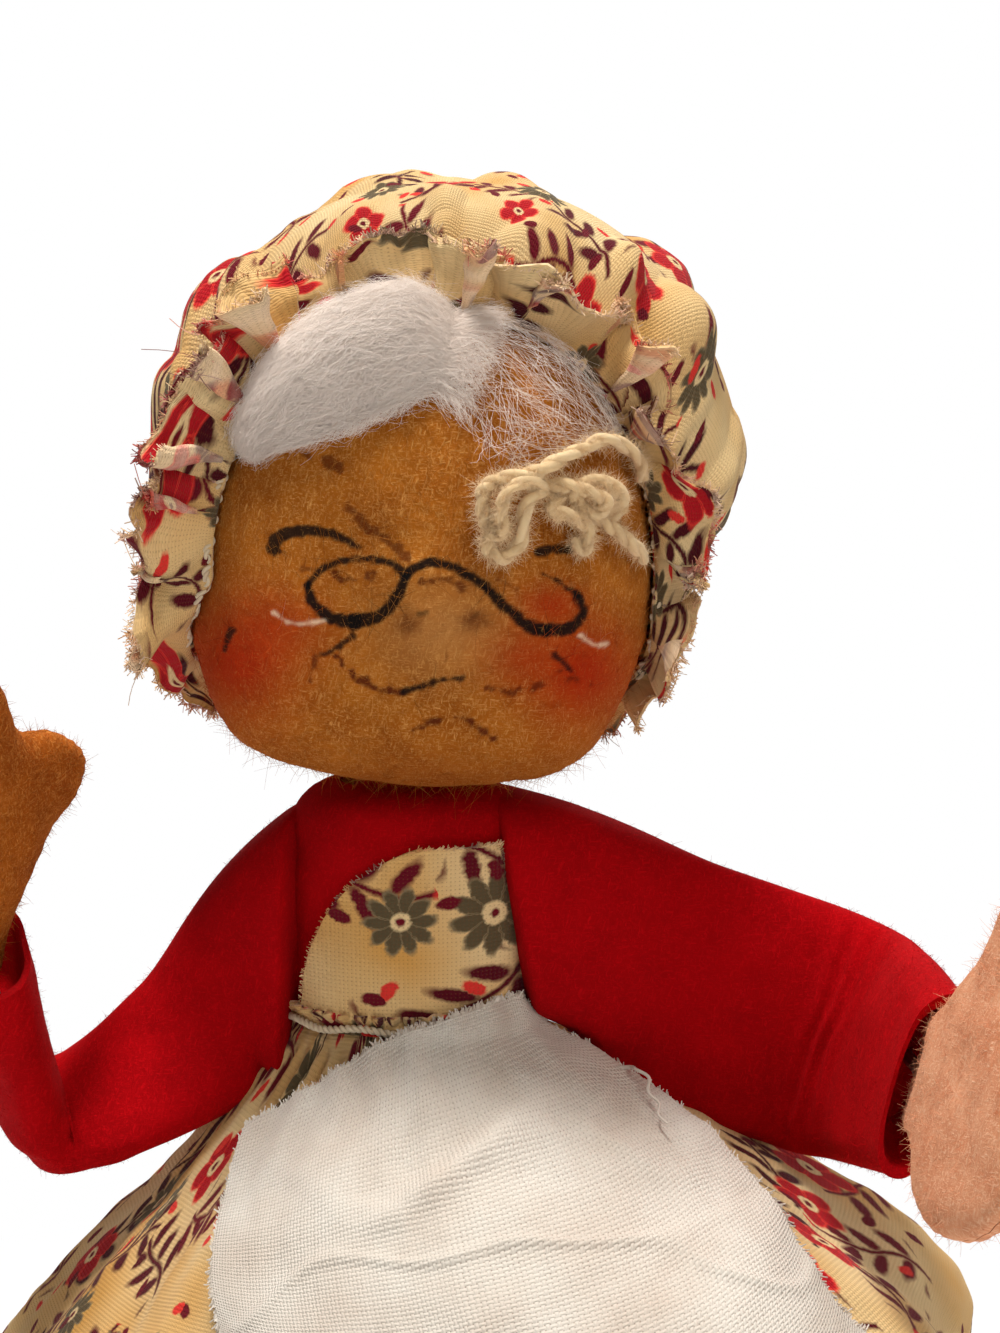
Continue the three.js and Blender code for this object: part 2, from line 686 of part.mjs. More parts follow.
// Loose end of cream yarn: one tube looped over the brow, by [turn, forward, lift] points.
function yarnTuft() {
  const route = [
    [22, 33, 2.2],
    [30, 44, 1.9],
    [38, 56, 1.6],
    [30, 64, 1.8],
    [8, 66, 2.0],
    [4, 60, 2.6],
    [20, 58, 3.2],
    [26, 50, 4.1],
    [10, 47, 4.6],
    [-6, 52, 3.0],
    [-12, 45, 2.2],
    [2, 38, 2.4],
  ].map(([turn, forward, lift]) => onHead(degToRad(turn), degToRad(forward), lift));
  const path = new THREE.CatmullRomCurve3(route);
  const section = new THREE.Shape().absarc(0, 0, YARN_R, 0, 2 * Math.PI);
  return new THREE.ExtrudeGeometry(section, {
    extrudePath: path,
    steps: 44,
    curveSegments: 3,
    bevelEnabled: false,
  });
}

// Assembly

function buildHead() {
  const neck = frame("neck", 0, 0, NECK_Z);
  neck.rotation.y = HEAD_ROLL;
  neck.add(
    piece("neck_wire", rod(vec(0, 0, BEND_GAP), vec(0, 0, neckTop()), WIRE_R), wire),
    piece("neck_felt", neckFelt(), redFelt),
  );
  const head = frame("head", 0, 0, 0);
  head.add(
    piece("head_stuffing", headStuffing(), batting),
    piece("face_felt", headHalf(-1), skinFelt),
    piece("head_back_felt", headHalf(1), skinFelt),
    piece("cap_crown", capCrown(), print),
    piece("cap_ruffle", capRuffle(), print),
    piece("cap_gathering_thread", capThread(), thread),
    piece("hair_tuft", hairTuft(), wool),
    piece("yarn_tuft", yarnTuft(), creamYarn),
  );
  neck.add(head);
  return neck;
}

function buildArm(side, pose) {
  const name = side > 0 ? "left" : "right";
  const mirror = new THREE.Group();
  mirror.scale.x = side;
  const shoulder = frame(`${name}_shoulder`, SHOULDER_X, 0, SHOULDER_Z);
  shoulder.rotation.y = pose.droop;
  const elbowGap = UPPER_ARM - ELBOW_WIRE_GAP;
  shoulder.add(
    piece(`${name}_upper_arm_wire`, rod(vec(BEND_GAP, 0, 0), vec(elbowGap, 0, 0), WIRE_R), wire),
    piece(`${name}_upper_sleeve`, upperSleeve(pose.twist), redFelt),
  );
  const twisted = frame("", UPPER_ARM, 0, 0);
  twisted.rotation.x = -pose.twist;
  const elbow = frame(`${name}_elbow`, 0, 0, 0);
  elbow.rotation.z = -pose.elbow;
  const wristX = FOREARM + WRIST_REACH;
  const lowerWire = rod(vec(ELBOW_WIRE_GAP, 0, 0), vec(wristX - BEND_GAP, 0, 0), WIRE_R);
  elbow.add(
    piece(`${name}_forearm_wire`, lowerWire, wire),
    piece(`${name}_lower_sleeve`, lowerSleeve(), redFelt),
  );
  const turned = frame("", wristX, 0, 0);
  turned.rotation.x = pose.turn;
  const wrist = frame(`${name}_wrist`, 0, 0, 0);
  wrist.rotation.y = -pose.wrist;
  const handWire = rod(vec(BEND_GAP, 0, 0), vec(0.68 * HAND_LENGTH, 0, 0), WIRE_R);
  wrist.add(
    piece(`${name}_hand_wire`, handWire, wire),
    piece(`${name}_palm_felt`, handHalf(-1), skinFelt),
    piece(`${name}_hand_back_felt`, handHalf(1), skinFelt),
  );
  turned.add(wrist);
  elbow.add(turned);
  twisted.add(elbow);
  shoulder.add(twisted);
  mirror.add(shoulder);
  return mirror;
}

function buildLeg(side) {
  const name = side > 0 ? "left" : "right";
  const limbWire = (length) => rod(vec(0, 0, -BEND_GAP), vec(0, 0, BEND_GAP - length), WIRE_R);
  const hip = frame(`${name}_hip`, side * HIP_X, 0, HIP_Z);
  hip.add(
    piece(`${name}_thigh_wire`, limbWire(THIGH_LENGTH), wire),
    piece(`${name}_thigh_felt`, legFelt(THIGH_LENGTH, THIGH_R), redFelt),
  );
  const knee = frame(`${name}_knee`, 0, 0, -THIGH_LENGTH);
  knee.add(
    piece(`${name}_shin_wire`, limbWire(SHIN_LENGTH), wire),
    piece(`${name}_shin_felt`, legFelt(SHIN_LENGTH, SHIN_R), redFelt),
  );
  const ankle = frame(`${name}_ankle`, 0, 0, -SHIN_LENGTH);
  const shoe = frame("", 0, 0, -ANKLE_HEIGHT);
  const footTop = vec(0, 0, ANKLE_HEIGHT - BEND_GAP);
  const footLow = vec(0, 0, SOLE + GAP + 0.3 * SHOE_HEIGHT + GAP);
  shoe.add(
    piece(`${name}_foot_wire`, rod(footLow, footTop, WIRE_R), wire),
    piece(`${name}_shoe_upper`, shoeUpper(), blackFelt),
    piece(`${name}_shoe_sole`, shoeSole(), blackFelt),
  );
  ankle.add(shoe);
  knee.add(ankle);
  hip.add(knee);
  return hip;
}

const doll = new THREE.Group();
doll.add(
  piece("armature_wire", armature(WIRE_R), wire),
  piece("torso_stuffing", torsoStuffing(), batting),
  piece("bodice_front", bodicePanel(-1), redFelt),
  piece("bodice_back", bodicePanel(1), redFelt),
  piece("bib", bib(), print),
  piece("skirt", skirt(), print),
  piece("apron", apron(), muslin),
  piece("waist_thread", waistThread(), thread),
  buildHead(),
  buildArm(1, LEFT_POSE),
  buildArm(-1, RIGHT_POSE),
  buildLeg(1),
  buildLeg(-1),
);

// The origin is on the floor, under the middle of the doll's box.
const box = new THREE.Box3().setFromObject(doll, true);
const middle = box.getCenter(vec(0, 0, 0));
doll.children.forEach((child) => child.position.sub(vec(middle.x, middle.y, box.min.z)));

export default doll;
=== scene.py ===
"""A posable felt doll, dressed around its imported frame. Sizes are in millimetres until a mesh is made."""

import math

import bpy
import numpy as np
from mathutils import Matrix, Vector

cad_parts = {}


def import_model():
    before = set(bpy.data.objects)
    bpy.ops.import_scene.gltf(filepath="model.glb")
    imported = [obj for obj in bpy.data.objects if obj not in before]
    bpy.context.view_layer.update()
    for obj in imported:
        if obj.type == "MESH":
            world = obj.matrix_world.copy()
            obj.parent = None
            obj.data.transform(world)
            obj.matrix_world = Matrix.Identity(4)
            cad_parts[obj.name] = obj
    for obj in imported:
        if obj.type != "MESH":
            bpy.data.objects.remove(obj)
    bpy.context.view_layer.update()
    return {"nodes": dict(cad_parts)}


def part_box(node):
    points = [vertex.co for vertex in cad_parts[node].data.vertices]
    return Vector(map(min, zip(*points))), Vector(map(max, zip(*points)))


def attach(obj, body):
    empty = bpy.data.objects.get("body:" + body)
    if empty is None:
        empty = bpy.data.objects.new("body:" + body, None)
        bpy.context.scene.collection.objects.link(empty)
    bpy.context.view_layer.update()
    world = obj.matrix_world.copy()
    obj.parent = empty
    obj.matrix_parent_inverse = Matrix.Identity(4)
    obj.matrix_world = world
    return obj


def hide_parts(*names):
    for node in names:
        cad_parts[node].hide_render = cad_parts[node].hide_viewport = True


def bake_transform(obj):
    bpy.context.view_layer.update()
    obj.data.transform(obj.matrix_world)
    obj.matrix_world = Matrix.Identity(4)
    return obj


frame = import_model()

# Frame and camera
MM = 0.001
AXIS = [sum(corner[k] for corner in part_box("waist_thread")) / 2 for k in range(2)]
IMAGE = (1000, 1333)
AIM = np.array([9.3, -14.0, 131.0])
VIEW_RISE = math.radians(8)
VIEW_DISTANCE = 235.0
PIXELS_PER_MM = 10.6
SENSOR = 24.0
ASIDE = np.array([1.0, 0, 0])
AHEAD = np.array([0, math.cos(VIEW_RISE), -math.sin(VIEW_RISE)])
UP = np.array([0, math.sin(VIEW_RISE), math.cos(VIEW_RISE)])
EYE = AIM - VIEW_DISTANCE * AHEAD

# Stage: lamps by place, width in metres, watts and tint; the floor's sizes are in metres
LAMP_AIM = (0, 0, 120)
LAMPS = {
    "key": ((-95, -70, 900), 0.2, 7.8, (1.0, 0.95, 0.89)),
    "fill": ((300, -500, 560), 0.5, 1.6, (1.0, 0.92, 0.82)),
    "back": ((120, 620, 520), 0.5, 2.0, (1.0, 0.97, 0.94)),
}
WORLD_TINT, WORLD_STRENGTH = (1.0, 0.96, 0.92, 1), 0.11
WHITE = (1, 1, 1, 1)
FLOOR_RADIUS, FLOOR_SIDES, FLOOR_TONE, FLOOR_ROUGH = 6.0, 96, (0.94, 0.94, 0.94, 1), 0.9
SHADOW_NEAR, SHADOW_FAR, SHADOW_GLOW = 0.09, 0.2, 0.55

# Body
TORSO_BOTTOM, TORSO_HEIGHT = 66.0, 52.7
TORSO_HALF_WIDTH, TORSO_HALF_DEPTH = 12.0, 9.0
TORSO_SQUARE, BODICE_SQUARE = 5.0, 14.0
BODICE_LOW, BODICE_TOP = 71.3, 117.6
WAIST_Z, THREAD_Z, HEM_Z = 92.3, 94.15, 10.3
NECK_Z, NECK_LOW, NECK_BEND, NECK_TOP = 118.0, 116.4, (117.0, 119.0), 120.8
NECK_WIDE, NECK_SLIM = 5.6, 4.1
# Thickness of the felt, and the room between it and the stuffing
FELT, TORSO_ROOM, HEAD_ROOM = 1.2, 0.8, 0.7
BIB_LOW, BIB_HEIGHT, BIB_CLOTH = 93.6, 18.9, 0.45
# Turns from the front to the bib's corners; left and right are the picture's
BIB_LEFT_TURN, BIB_TOP_TURN, BIB_CORNER_TURN, BIB_RIGHT_TURN = np.radians([57, 12, 47, 78])
BIB_PRINT = np.array([44.0, -76.0])
BIB_FRINGE = 420

# Head
HEAD_HALF = np.array([22.5, 19.5, 23.0])
HEAD_SQUARENESS, CHEEK_TAPER = 2.3, 0.15
HEAD_CENTRE = np.array([0.0, 0.0, 24.5])
HEAD_ROLL = math.radians(4)
CHIN_SAG, JOWL = 2.8, 2.0
FACE_FUZZ = 9000
# The nose, chin, cheeks and eyes: height above the head, middle and size
FACE_RELIEF = [
    (0.9, (0.6, -2.5), (3.4, 3.0)), (0.5, (1, -17), (7, 3.5)), (0.7, (-13, -8), (6, 6)),
    (0.7, (13, -8), (6, 6)), (-0.4, (-6, 1), (4, 2.5)), (-0.4, (9, 1), (4, 2.5)),
]

# Cap and hair
FACE_FORWARD, CAP_SKEW, NAPE_FORWARD = math.radians(24), math.radians(9), math.radians(-42)
GATHER_APART = math.radians(1.3)
CAP_LIFT, CAP_PUFF, CAP_CLOTH = 0.92, 14.0, 0.4
CROWN_POLE = np.array([0.12, 0.55, 0.83])
RUFFLE_WIDTH, RUFFLE_WAVES, RUFFLE_CLOTH, RUFFLE_FRINGE = 8.6, 18, 0.3, 9000
RUFFLE_PRINT, RUFFLE_PRINT_LONG = np.array([300.0, 17.0]), 250
HAIR_THICK, HAIR_THIN_SHARE, HAIR_STRANDS = 5.2, 0.4, 22000
YARN_PLY, YARN_PITCH = 0.4, 4.4
# Where the two plies of a thread and of the yarn lie in their colours
THREAD_SPOTS, YARN_SPOTS = np.array([[0, 0, 0], [5, 3, 1]]), np.array([[0, 0, 0], [7, 3, 1]])
# Lower edge of the hair and the yarn's strands: places in the picture's pixels, and mm above the head
HAIR_EDGE = [
    (258, 456), (300, 441), (345, 425), (390, 406), (436, 391),
    (460, 405), (492, 452), (522, 468), (560, 462), (596, 446),
]
HAIR_PART = HAIR_EDGE[4]
YARN_STRANDS = [
    [(642, 480, 1.2), (637, 457, 2.0), (608, 440, 2.6), (575, 452, 2.6), (542, 469, 2.4), (503, 478, 2.4),
     (484, 488, 2.4), (483, 514, 1.9), (491, 530, 1.2)],
    [(560, 492, 1.2), (532, 482, 2.4), (507, 492, 3.2), (501, 516, 3.0), (503, 531, 2.6), (489, 537, 2.2),
     (487, 549, 1.9), (503, 558, 1.6), (520, 541, 2.0), (526, 506, 2.4), (545, 488, 1.6)],
    [(540, 486, 1.0), (570, 485, 2.4), (592, 493, 3.0), (607, 503, 3.2), (594, 514, 2.6), (579, 505, 2.0),
     (577, 489, 2.4), (600, 479, 2.8), (623, 498, 2.6), (611, 522, 1.6)],
    [(558, 498, 1.2), (553, 511, 2.0), (573, 517, 2.4), (588, 529, 2.2), (585, 549, 1.5), (574, 541, 0.8)],
    [(586, 512, 1.2), (611, 527, 2.0), (628, 541, 2.2), (644, 558, 1.4)],
]

# Skirt and apron
HEM_HALF_WIDTH, HEM_HALF_DEPTH, SKIRT_CLOTH = 54.0, 50.0, 0.4
FLARE_LENGTH, BELL_HEIGHT, WAIST_ROOM = 42.0, 50.0, 1.2
# Slope of the skirt below the waist in degrees, on the doll's right and left
FLARE_SLOPES = (51, 22)
PLEATS, PLEAT_DEPTH, GATHERS, HEADING = 14, 6.0, 46, 3.4
SKIRT_PUFF, PUFF_TURN, PUFF_DROP = 9.0, math.radians(-10), 0.5
SKIRT_PRINT_LONG, SKIRT_PRINT_TALL, HEADING_PRINT = 420, 88, 4
# The apron's middle and sides in degrees round the doll, at its top and at its bottom
APRON_SWING, APRON_RIGHT_SIDE, APRON_LEFT_SIDE = (4, 16), (57, 22), (68, 40)
APRON_LENGTH, APRON_CLOTH, APRON_FRINGE = 0.62, 0.35, 2400
APRON_PRINT = (30, 50)
# A thread that curls off the apron's side: places across and down the apron, and mm above the skirt
LOOSE_THREAD = [
    (0.97, 0.13, 1.2), (0.97, 0.15, 2.2), (0.93, 0.16, 2.8), (0.925, 0.185, 3.0), (0.87, 0.20, 2.6),
    (0.87, 0.225, 2.4), (0.81, 0.24, 2.6), (0.79, 0.265, 3.0),
]

# Arms
SHOULDER_X, SHOULDER_Z = 17.0, 104.0
UPPER_ARM, FOREARM, WRIST_X = 31.0, 24.0, 25.0
ARM_POSES = {
    "left": dict(side=1, droop=18, twist=0, elbow=84, turn=0, wrist=14),
    "right": dict(side=-1, droop=47, twist=58, elbow=124, turn=60, wrist=12),
}
SLEEVE_HALF_DEPTH, SLEEVE_SIDES, SHOULDER_BEND = 3.6, 96, 5.0
# Height of each sleeve above and below its wire, at places along the arm
SLEEVE_PLACES = (0, 10, 20, 31, 45, 55)
SLEEVE_ABOVE = {"left": (9.5, 9.0, 8.8, 8.6, 9.0, 8.6), "right": (3.6, 2.2, 2.6, 6.3, 8.0, 8.5)}
SLEEVE_BELOW = {"left": (13.6, 16.0, 17.2, 16.8, 12.6, 9.6), "right": (14.5, 14.5, 12.5, 10.0, 8.5, 8.5)}
SEAM_X, SEAM_TOP, SEAM_HALF_DEPTH, SEAM_RUN = 8.2, 117.0, 7.6, 8.8
SEAM_LOW = {"left": 95.0, "right": 88.0}
SEAM_SLOPE = {"left": math.radians(13), "right": math.radians(34)}
SEAM_LINE = {"left": (12.4, 8.4), "right": (12.2, 11.6)}
ELBOW_ROUND, ELBOW_BEND, ELBOW_CUT = 7.5, (4.0, 10.5), 8.0
CUFF_DEPTH, CUFF_START = {"left": 0.9, "right": 1.2}, 8.0
HAND_LENGTH, HAND_HALF_WIDTH, THUMB, HAND_FELT, STITCH = 29.0, 10.0, 6.0, 2.6, 5.0
HAND_FULL, HAND_RISE = {"left": 1.3, "right": 1.0}, {"left": 1.2, "right": 0.0}
HAND_TAIL, WRIST_WIDE, WRIST_THICK = 4.2, {"left": 1.0, "right": 0.62}, 0.5

# Legs
HIP_X, HIP_Z, KNEE_Z, ANKLE_Z = 7.5, 63.0, 37.0, 11.5
THIGH_R, SHIN_R = 6.0, 5.4
SHOE_LENGTH, SHOE_WIDTH, SHOE_HEIGHT, HEEL = 32.0, 14.0, 8.6, 9.0
SOLE, SOLE_ROUND = 1.5, 0.3

# Colours as they look, from 0 to 255; the felts' tones run from dark to light, the others from light to dark
RED_TONES = (138, 0, 5), (174, 0, 9), (194, 6, 17)
SKIN_TONES = (152, 82, 18), (182, 108, 32), (216, 158, 86)
# The tan and hand tones are one hand felt, in a darker copy with painted shade and a lighter copy with
# painted light
SHADED_HAND_TONES = (142, 68, 14), (170, 90, 24), (206, 136, 66)
LIT_HAND_TONES = (206, 132, 94), (226, 160, 122), (242, 200, 168)
BLACK_TONES = (16, 14, 15), (32, 29, 30), (58, 54, 54)
# The muslin's deepest tone is painted shade for the gaps between its threads
MUSLIN_TONES_AND_GAP_SHADE = (226, 222, 214), (200, 183, 168), (124, 103, 86)
WOOL_TONES = (255, 252, 248), (244, 228, 218)
YARN_TONES = (250, 230, 192), (214, 178, 126)
THREAD_TONES = (236, 224, 200), (190, 170, 138)
BATTING_TONES = (244, 241, 234), (216, 212, 204)
WIRE_TONES = (176, 177, 178), (120, 122, 124)
# The last cream is painted shade for the gaps between the threads
CREAM, CREAM_DEEP, THREAD_GAP_SHADE = (232, 206, 156), (212, 160, 86), (120, 76, 44)
MAROON, MAROON_DARK = (104, 14, 32), (66, 8, 22)
CORAL, CORAL_DEEP = (222, 56, 50), (178, 22, 34)
OLIVE, OLIVE_DEEP = (128, 112, 84), (92, 80, 58)
WRONG_SIDE, WRONG_SIDE_BLOOM = (238, 212, 190), (214, 112, 106)
BLACK_PAINT, BROWN_PAINT, WHITE_PAINT = (14, 14, 16), (84, 28, 12), (246, 220, 190)
# The shade colour is painted shade, and the nose colour a painted highlight
BLUSH_PAINT, PAINTED_SHADE, NOSE_PAINTED_HIGHLIGHT = (176, 40, 6), (128, 58, 6), (206, 150, 88)

# Cloth: threads' pitch, and the print's scale and distances between its motifs
THREAD_PITCH, PRINT_SCALE = 0.4, 0.74
SPRIG_APART, FLOWER_APART, BUD_APART = 10.6, 10.5, 4.6

# Painted strokes: colour, strength, width at each end and the points they pass, in the picture's pixels
STROKES = [
    (BLACK_PAINT, 0.95, 15, 8, [(274, 549), (279, 536), (305, 531), (333, 534), (358, 547)]),
    (BLACK_PAINT, 0.95, 11, 9, [(539, 552), (554, 549), (576, 549)]),
    (BLACK_PAINT, 0.95, 8, 7, [(404, 572), (384, 561), (355, 559), (326, 567), (308, 585)]),
    (BLACK_PAINT, 0.97, 8, 15, [(308, 585), (312, 601), (330, 617), (355, 622)]),
    (BLACK_PAINT, 0.97, 15, 10, [(355, 622), (380, 615), (398, 595), (406, 576)]),
    (BLACK_PAINT, 0.97, 9, 11, [(404, 577), (420, 565), (442, 563), (467, 574), (487, 588)]),
    (BLACK_PAINT, 0.97, 11, 14, [(487, 588), (507, 608), (525, 624), (546, 631)]),
    (BLACK_PAINT, 0.97, 14, 9, [(546, 631), (568, 628), (583, 613), (577, 595)]),
    (BLACK_PAINT, 0.9, 8, 3, [(577, 595), (561, 583), (543, 574)]),
    (BROWN_PAINT, 0.8, 6, 5, [(330, 574), (352, 579), (373, 577)]),
    (BROWN_PAINT, 0.6, 4, 4, [(297, 570), (312, 568)]),
    (BROWN_PAINT, 0.75, 5, 5, [(420, 583), (438, 579), (460, 586)]),
    (BROWN_PAINT, 0.6, 4, 3, [(496, 577), (518, 590)]),
    (BROWN_PAINT, 0.7, 9, 12, [(348, 505), (366, 527), (384, 538), (406, 556)]),
    (BROWN_PAINT, 0.7, 10, 6, [(328, 459), (341, 468)]),
    (BROWN_PAINT, 0.7, 5, 5, [(305, 456), (308, 457)]),
    (BROWN_PAINT, 0.6, 3, 3, [(447, 641), (447, 660)]),
    (BLACK_PAINT, 0.9, 7, 3, [(352, 637), (337, 648), (319, 656)]),
    (BROWN_PAINT, 0.7, 4, 3, [(315, 659), (310, 682)]),
    (BROWN_PAINT, 0.9, 4, 6, [(339, 657), (352, 673), (373, 686), (402, 693)]),
    (BLACK_PAINT, 0.95, 7, 6, [(404, 692), (435, 682), (463, 678)]),
    (BROWN_PAINT, 0.75, 3, 4, [(485, 689), (514, 691), (539, 686), (561, 671)]),
    (BLACK_PAINT, 0.9, 6, 4, [(555, 655), (572, 671)]),
    (BROWN_PAINT, 0.6, 3, 3, [(572, 677), (590, 684)]),
    (BROWN_PAINT, 0.9, 4, 6, [(413, 730), (431, 722), (456, 718), (474, 724), (492, 740)]),
    (BLACK_PAINT, 0.9, 9, 5, [(231, 631), (225, 650)]),
    (WHITE_PAINT, 0.85, 4, 4, [(274, 613), (287, 621), (301, 624), (324, 621)]),
    (WHITE_PAINT, 0.8, 4, 3, [(581, 635), (593, 644), (608, 644)]),
    (BLACK_PAINT, 0.6, 5, 4, [(420, 613), (427, 613)]),
    (BLACK_PAINT, 0.4, 4, 4, [(471, 619), (478, 613)]),
]
STROKE_STEPS, STROKE_SOFT = 36, 2.2
# Soft patches: colour, strength, middle and size; painted shade on the chin and the face's left edge, a
# painted highlight on the nose
PATCHES = [
    (PAINTED_SHADE, 0.75, (420, 806), (270, 56)),
    (PAINTED_SHADE, 0.6, (180, 620), (36, 150)),
    (NOSE_PAINTED_HIGHLIGHT, 0.5, (444, 632), (62, 44)),
    (BLUSH_PAINT, 0.95, (232, 664), (66, 62)),
    (BLUSH_PAINT, 0.6, (278, 626), (48, 34)),
    (BLUSH_PAINT, 0.95, (584, 672), (58, 56)),
    (BLUSH_PAINT, 0.75, (552, 605), (32, 20)),
    (BLUSH_PAINT, 0.55, (525, 658), (40, 30)),
    (BROWN_PAINT, 0.7, (408, 624), (14, 12)),
    (BROWN_PAINT, 0.7, (474, 620), (15, 10)),
]

random = np.random.default_rng(20)
LATTICE = np.random.default_rng(7).random((32, 32, 32))


# Numbers and curves


def lerp(a, b, t):
    return a + (b - a) * t


def smoothstep(x, low, high):
    t = np.clip((x - low) / (high - low), 0, 1)
    return t * t * (3 - 2 * t)


def bump(x, size):
    """A smooth hill, 1 at 0 and nearly 0 at twice its size."""
    return np.exp(-((x / size) ** 2))


def bezier(a, b, c, d, t):
    s = 1 - t
    return a * s**3 + 3 * b * s * s * t + 3 * c * s * t * t + d * t**3


def unit(v):
    return v / np.maximum(np.linalg.norm(v, axis=-1, keepdims=True), 1e-12)


def joined(*parts):
    """Points from their coordinates."""
    return np.stack(np.broadcast_arrays(*parts), -1)


def full_turn(count):
    return np.linspace(0, 2 * np.pi, count + 1)[:-1]


def noise(points, size, seed=0):
    """Smooth noise from -1 to 1, with bumps about size mm wide."""
    q = np.asarray(points, float) / size + 5.37 * seed + 100
    cell = np.floor(q).astype(int)
    f = q - cell
    f = f * f * (3 - 2 * f)
    total = 0
    for corner in range(8):
        step = np.array([corner & 1, corner >> 1 & 1, corner >> 2])
        weight = np.prod(np.where(step == 1, f, 1 - f), axis=-1)
        i, j, k = np.moveaxis((cell + step) % 32, -1, 0)
        total = total + weight * LATTICE[i, j, k]
    return 2 * total - 1


def noise_vectors(points, size, seed):
    return joined(*(noise(points, size, seed + k) for k in range(3)))


def waves(turn, low, high, count, seed):
    """A repeating random wave round a full turn, made of a few whole-number waves."""
    source = np.random.default_rng(seed)
    total = 0
    for number in np.linspace(low, high, count).astype(int):
        total = total + source.uniform(0.5, 1) * np.cos(number * turn + source.uniform(0, 2 * np.pi))
    return total / math.sqrt(count)


def smoothed(values, width):
    """Values evened out over a number of neighbours."""
    return np.convolve(np.pad(values, width // 2, mode="edge"), np.ones(width) / width, "valid")


def spline(points, count, closed=False):
    """Points along a smooth curve through the given ones."""
    p = np.asarray(points, float)
    p = np.vstack([p[-1:], p, p[:2]]) if closed else np.vstack([2 * p[0] - p[1], p, 2 * p[-1] - p[-2]])
    spans = len(p) - 3
    at = np.linspace(0, spans, count + 1)[:-1] if closed else np.linspace(0, spans, count)
    i = np.minimum(at.astype(int), spans - 1)
    t = (at - i)[:, None]
    a, b, c, d = p[i], p[i + 1], p[i + 2], p[i + 3]
    return 0.5 * (2 * b + (c - a) * t + (2 * a - 5 * b + 4 * c - d) * t**2 + (3 * b - a - 3 * c + d) * t**3)


def carried_axes(paths):
    """Two axes across each path at each of its points, carried along without a twist."""
    along = unit(np.gradient(paths, axis=1))
    side = np.empty_like(paths)
    turn = unit(np.cross(along[:, 0], [0.31, 0.52, 0.79]))
    for k in range(paths.shape[1]):
        turn = unit(turn - np.sum(turn * along[:, k], -1, keepdims=True) * along[:, k])
        side[:, k] = turn
    return side, np.cross(along, side)


def image_point(points):
    """Where points fall in the picture, in its pixels."""
    offset = points - EYE
    scale = PIXELS_PER_MM * VIEW_DISTANCE / (offset @ AHEAD)
    return IMAGE[0] / 2 + offset[..., 0] * scale, IMAGE[1] / 2 - (offset @ UP) * scale


def in_row(point):
    """A point of the doll, in metres in the shared frame."""
    x, y, z = point
    return (x * MM + AXIS[0], y * MM + AXIS[1], z * MM)


# Meshes


def grid_faces(rows, columns):
    first = np.arange(rows - 1)[:, None] * columns + np.arange(columns - 1)
    return joined(first, first + 1, first + columns + 1, first + columns).reshape(-1, 4)


def grid_normals(points, closed=False):
    if closed:
        points = np.concatenate([points[:, -2:-1], points, points[:, 1:2]], 1)
    normal = unit(np.cross(np.gradient(points, axis=1), np.gradient(points, axis=0)))
    return normal[:, 1:-1] if closed else normal


def facing_out(points, quads, *others):
    """The faces of a closed solid, turned over if its quads face inwards."""
    a, b, c, d = (points[quads[:, k]] for k in range(4))
    volume = np.sum(np.cross(b - a, c - a) * a) + np.sum(np.cross(c - a, d - a) * a)
    return [faces[:, ::-1] if volume < 0 else faces for faces in (quads, *others)]


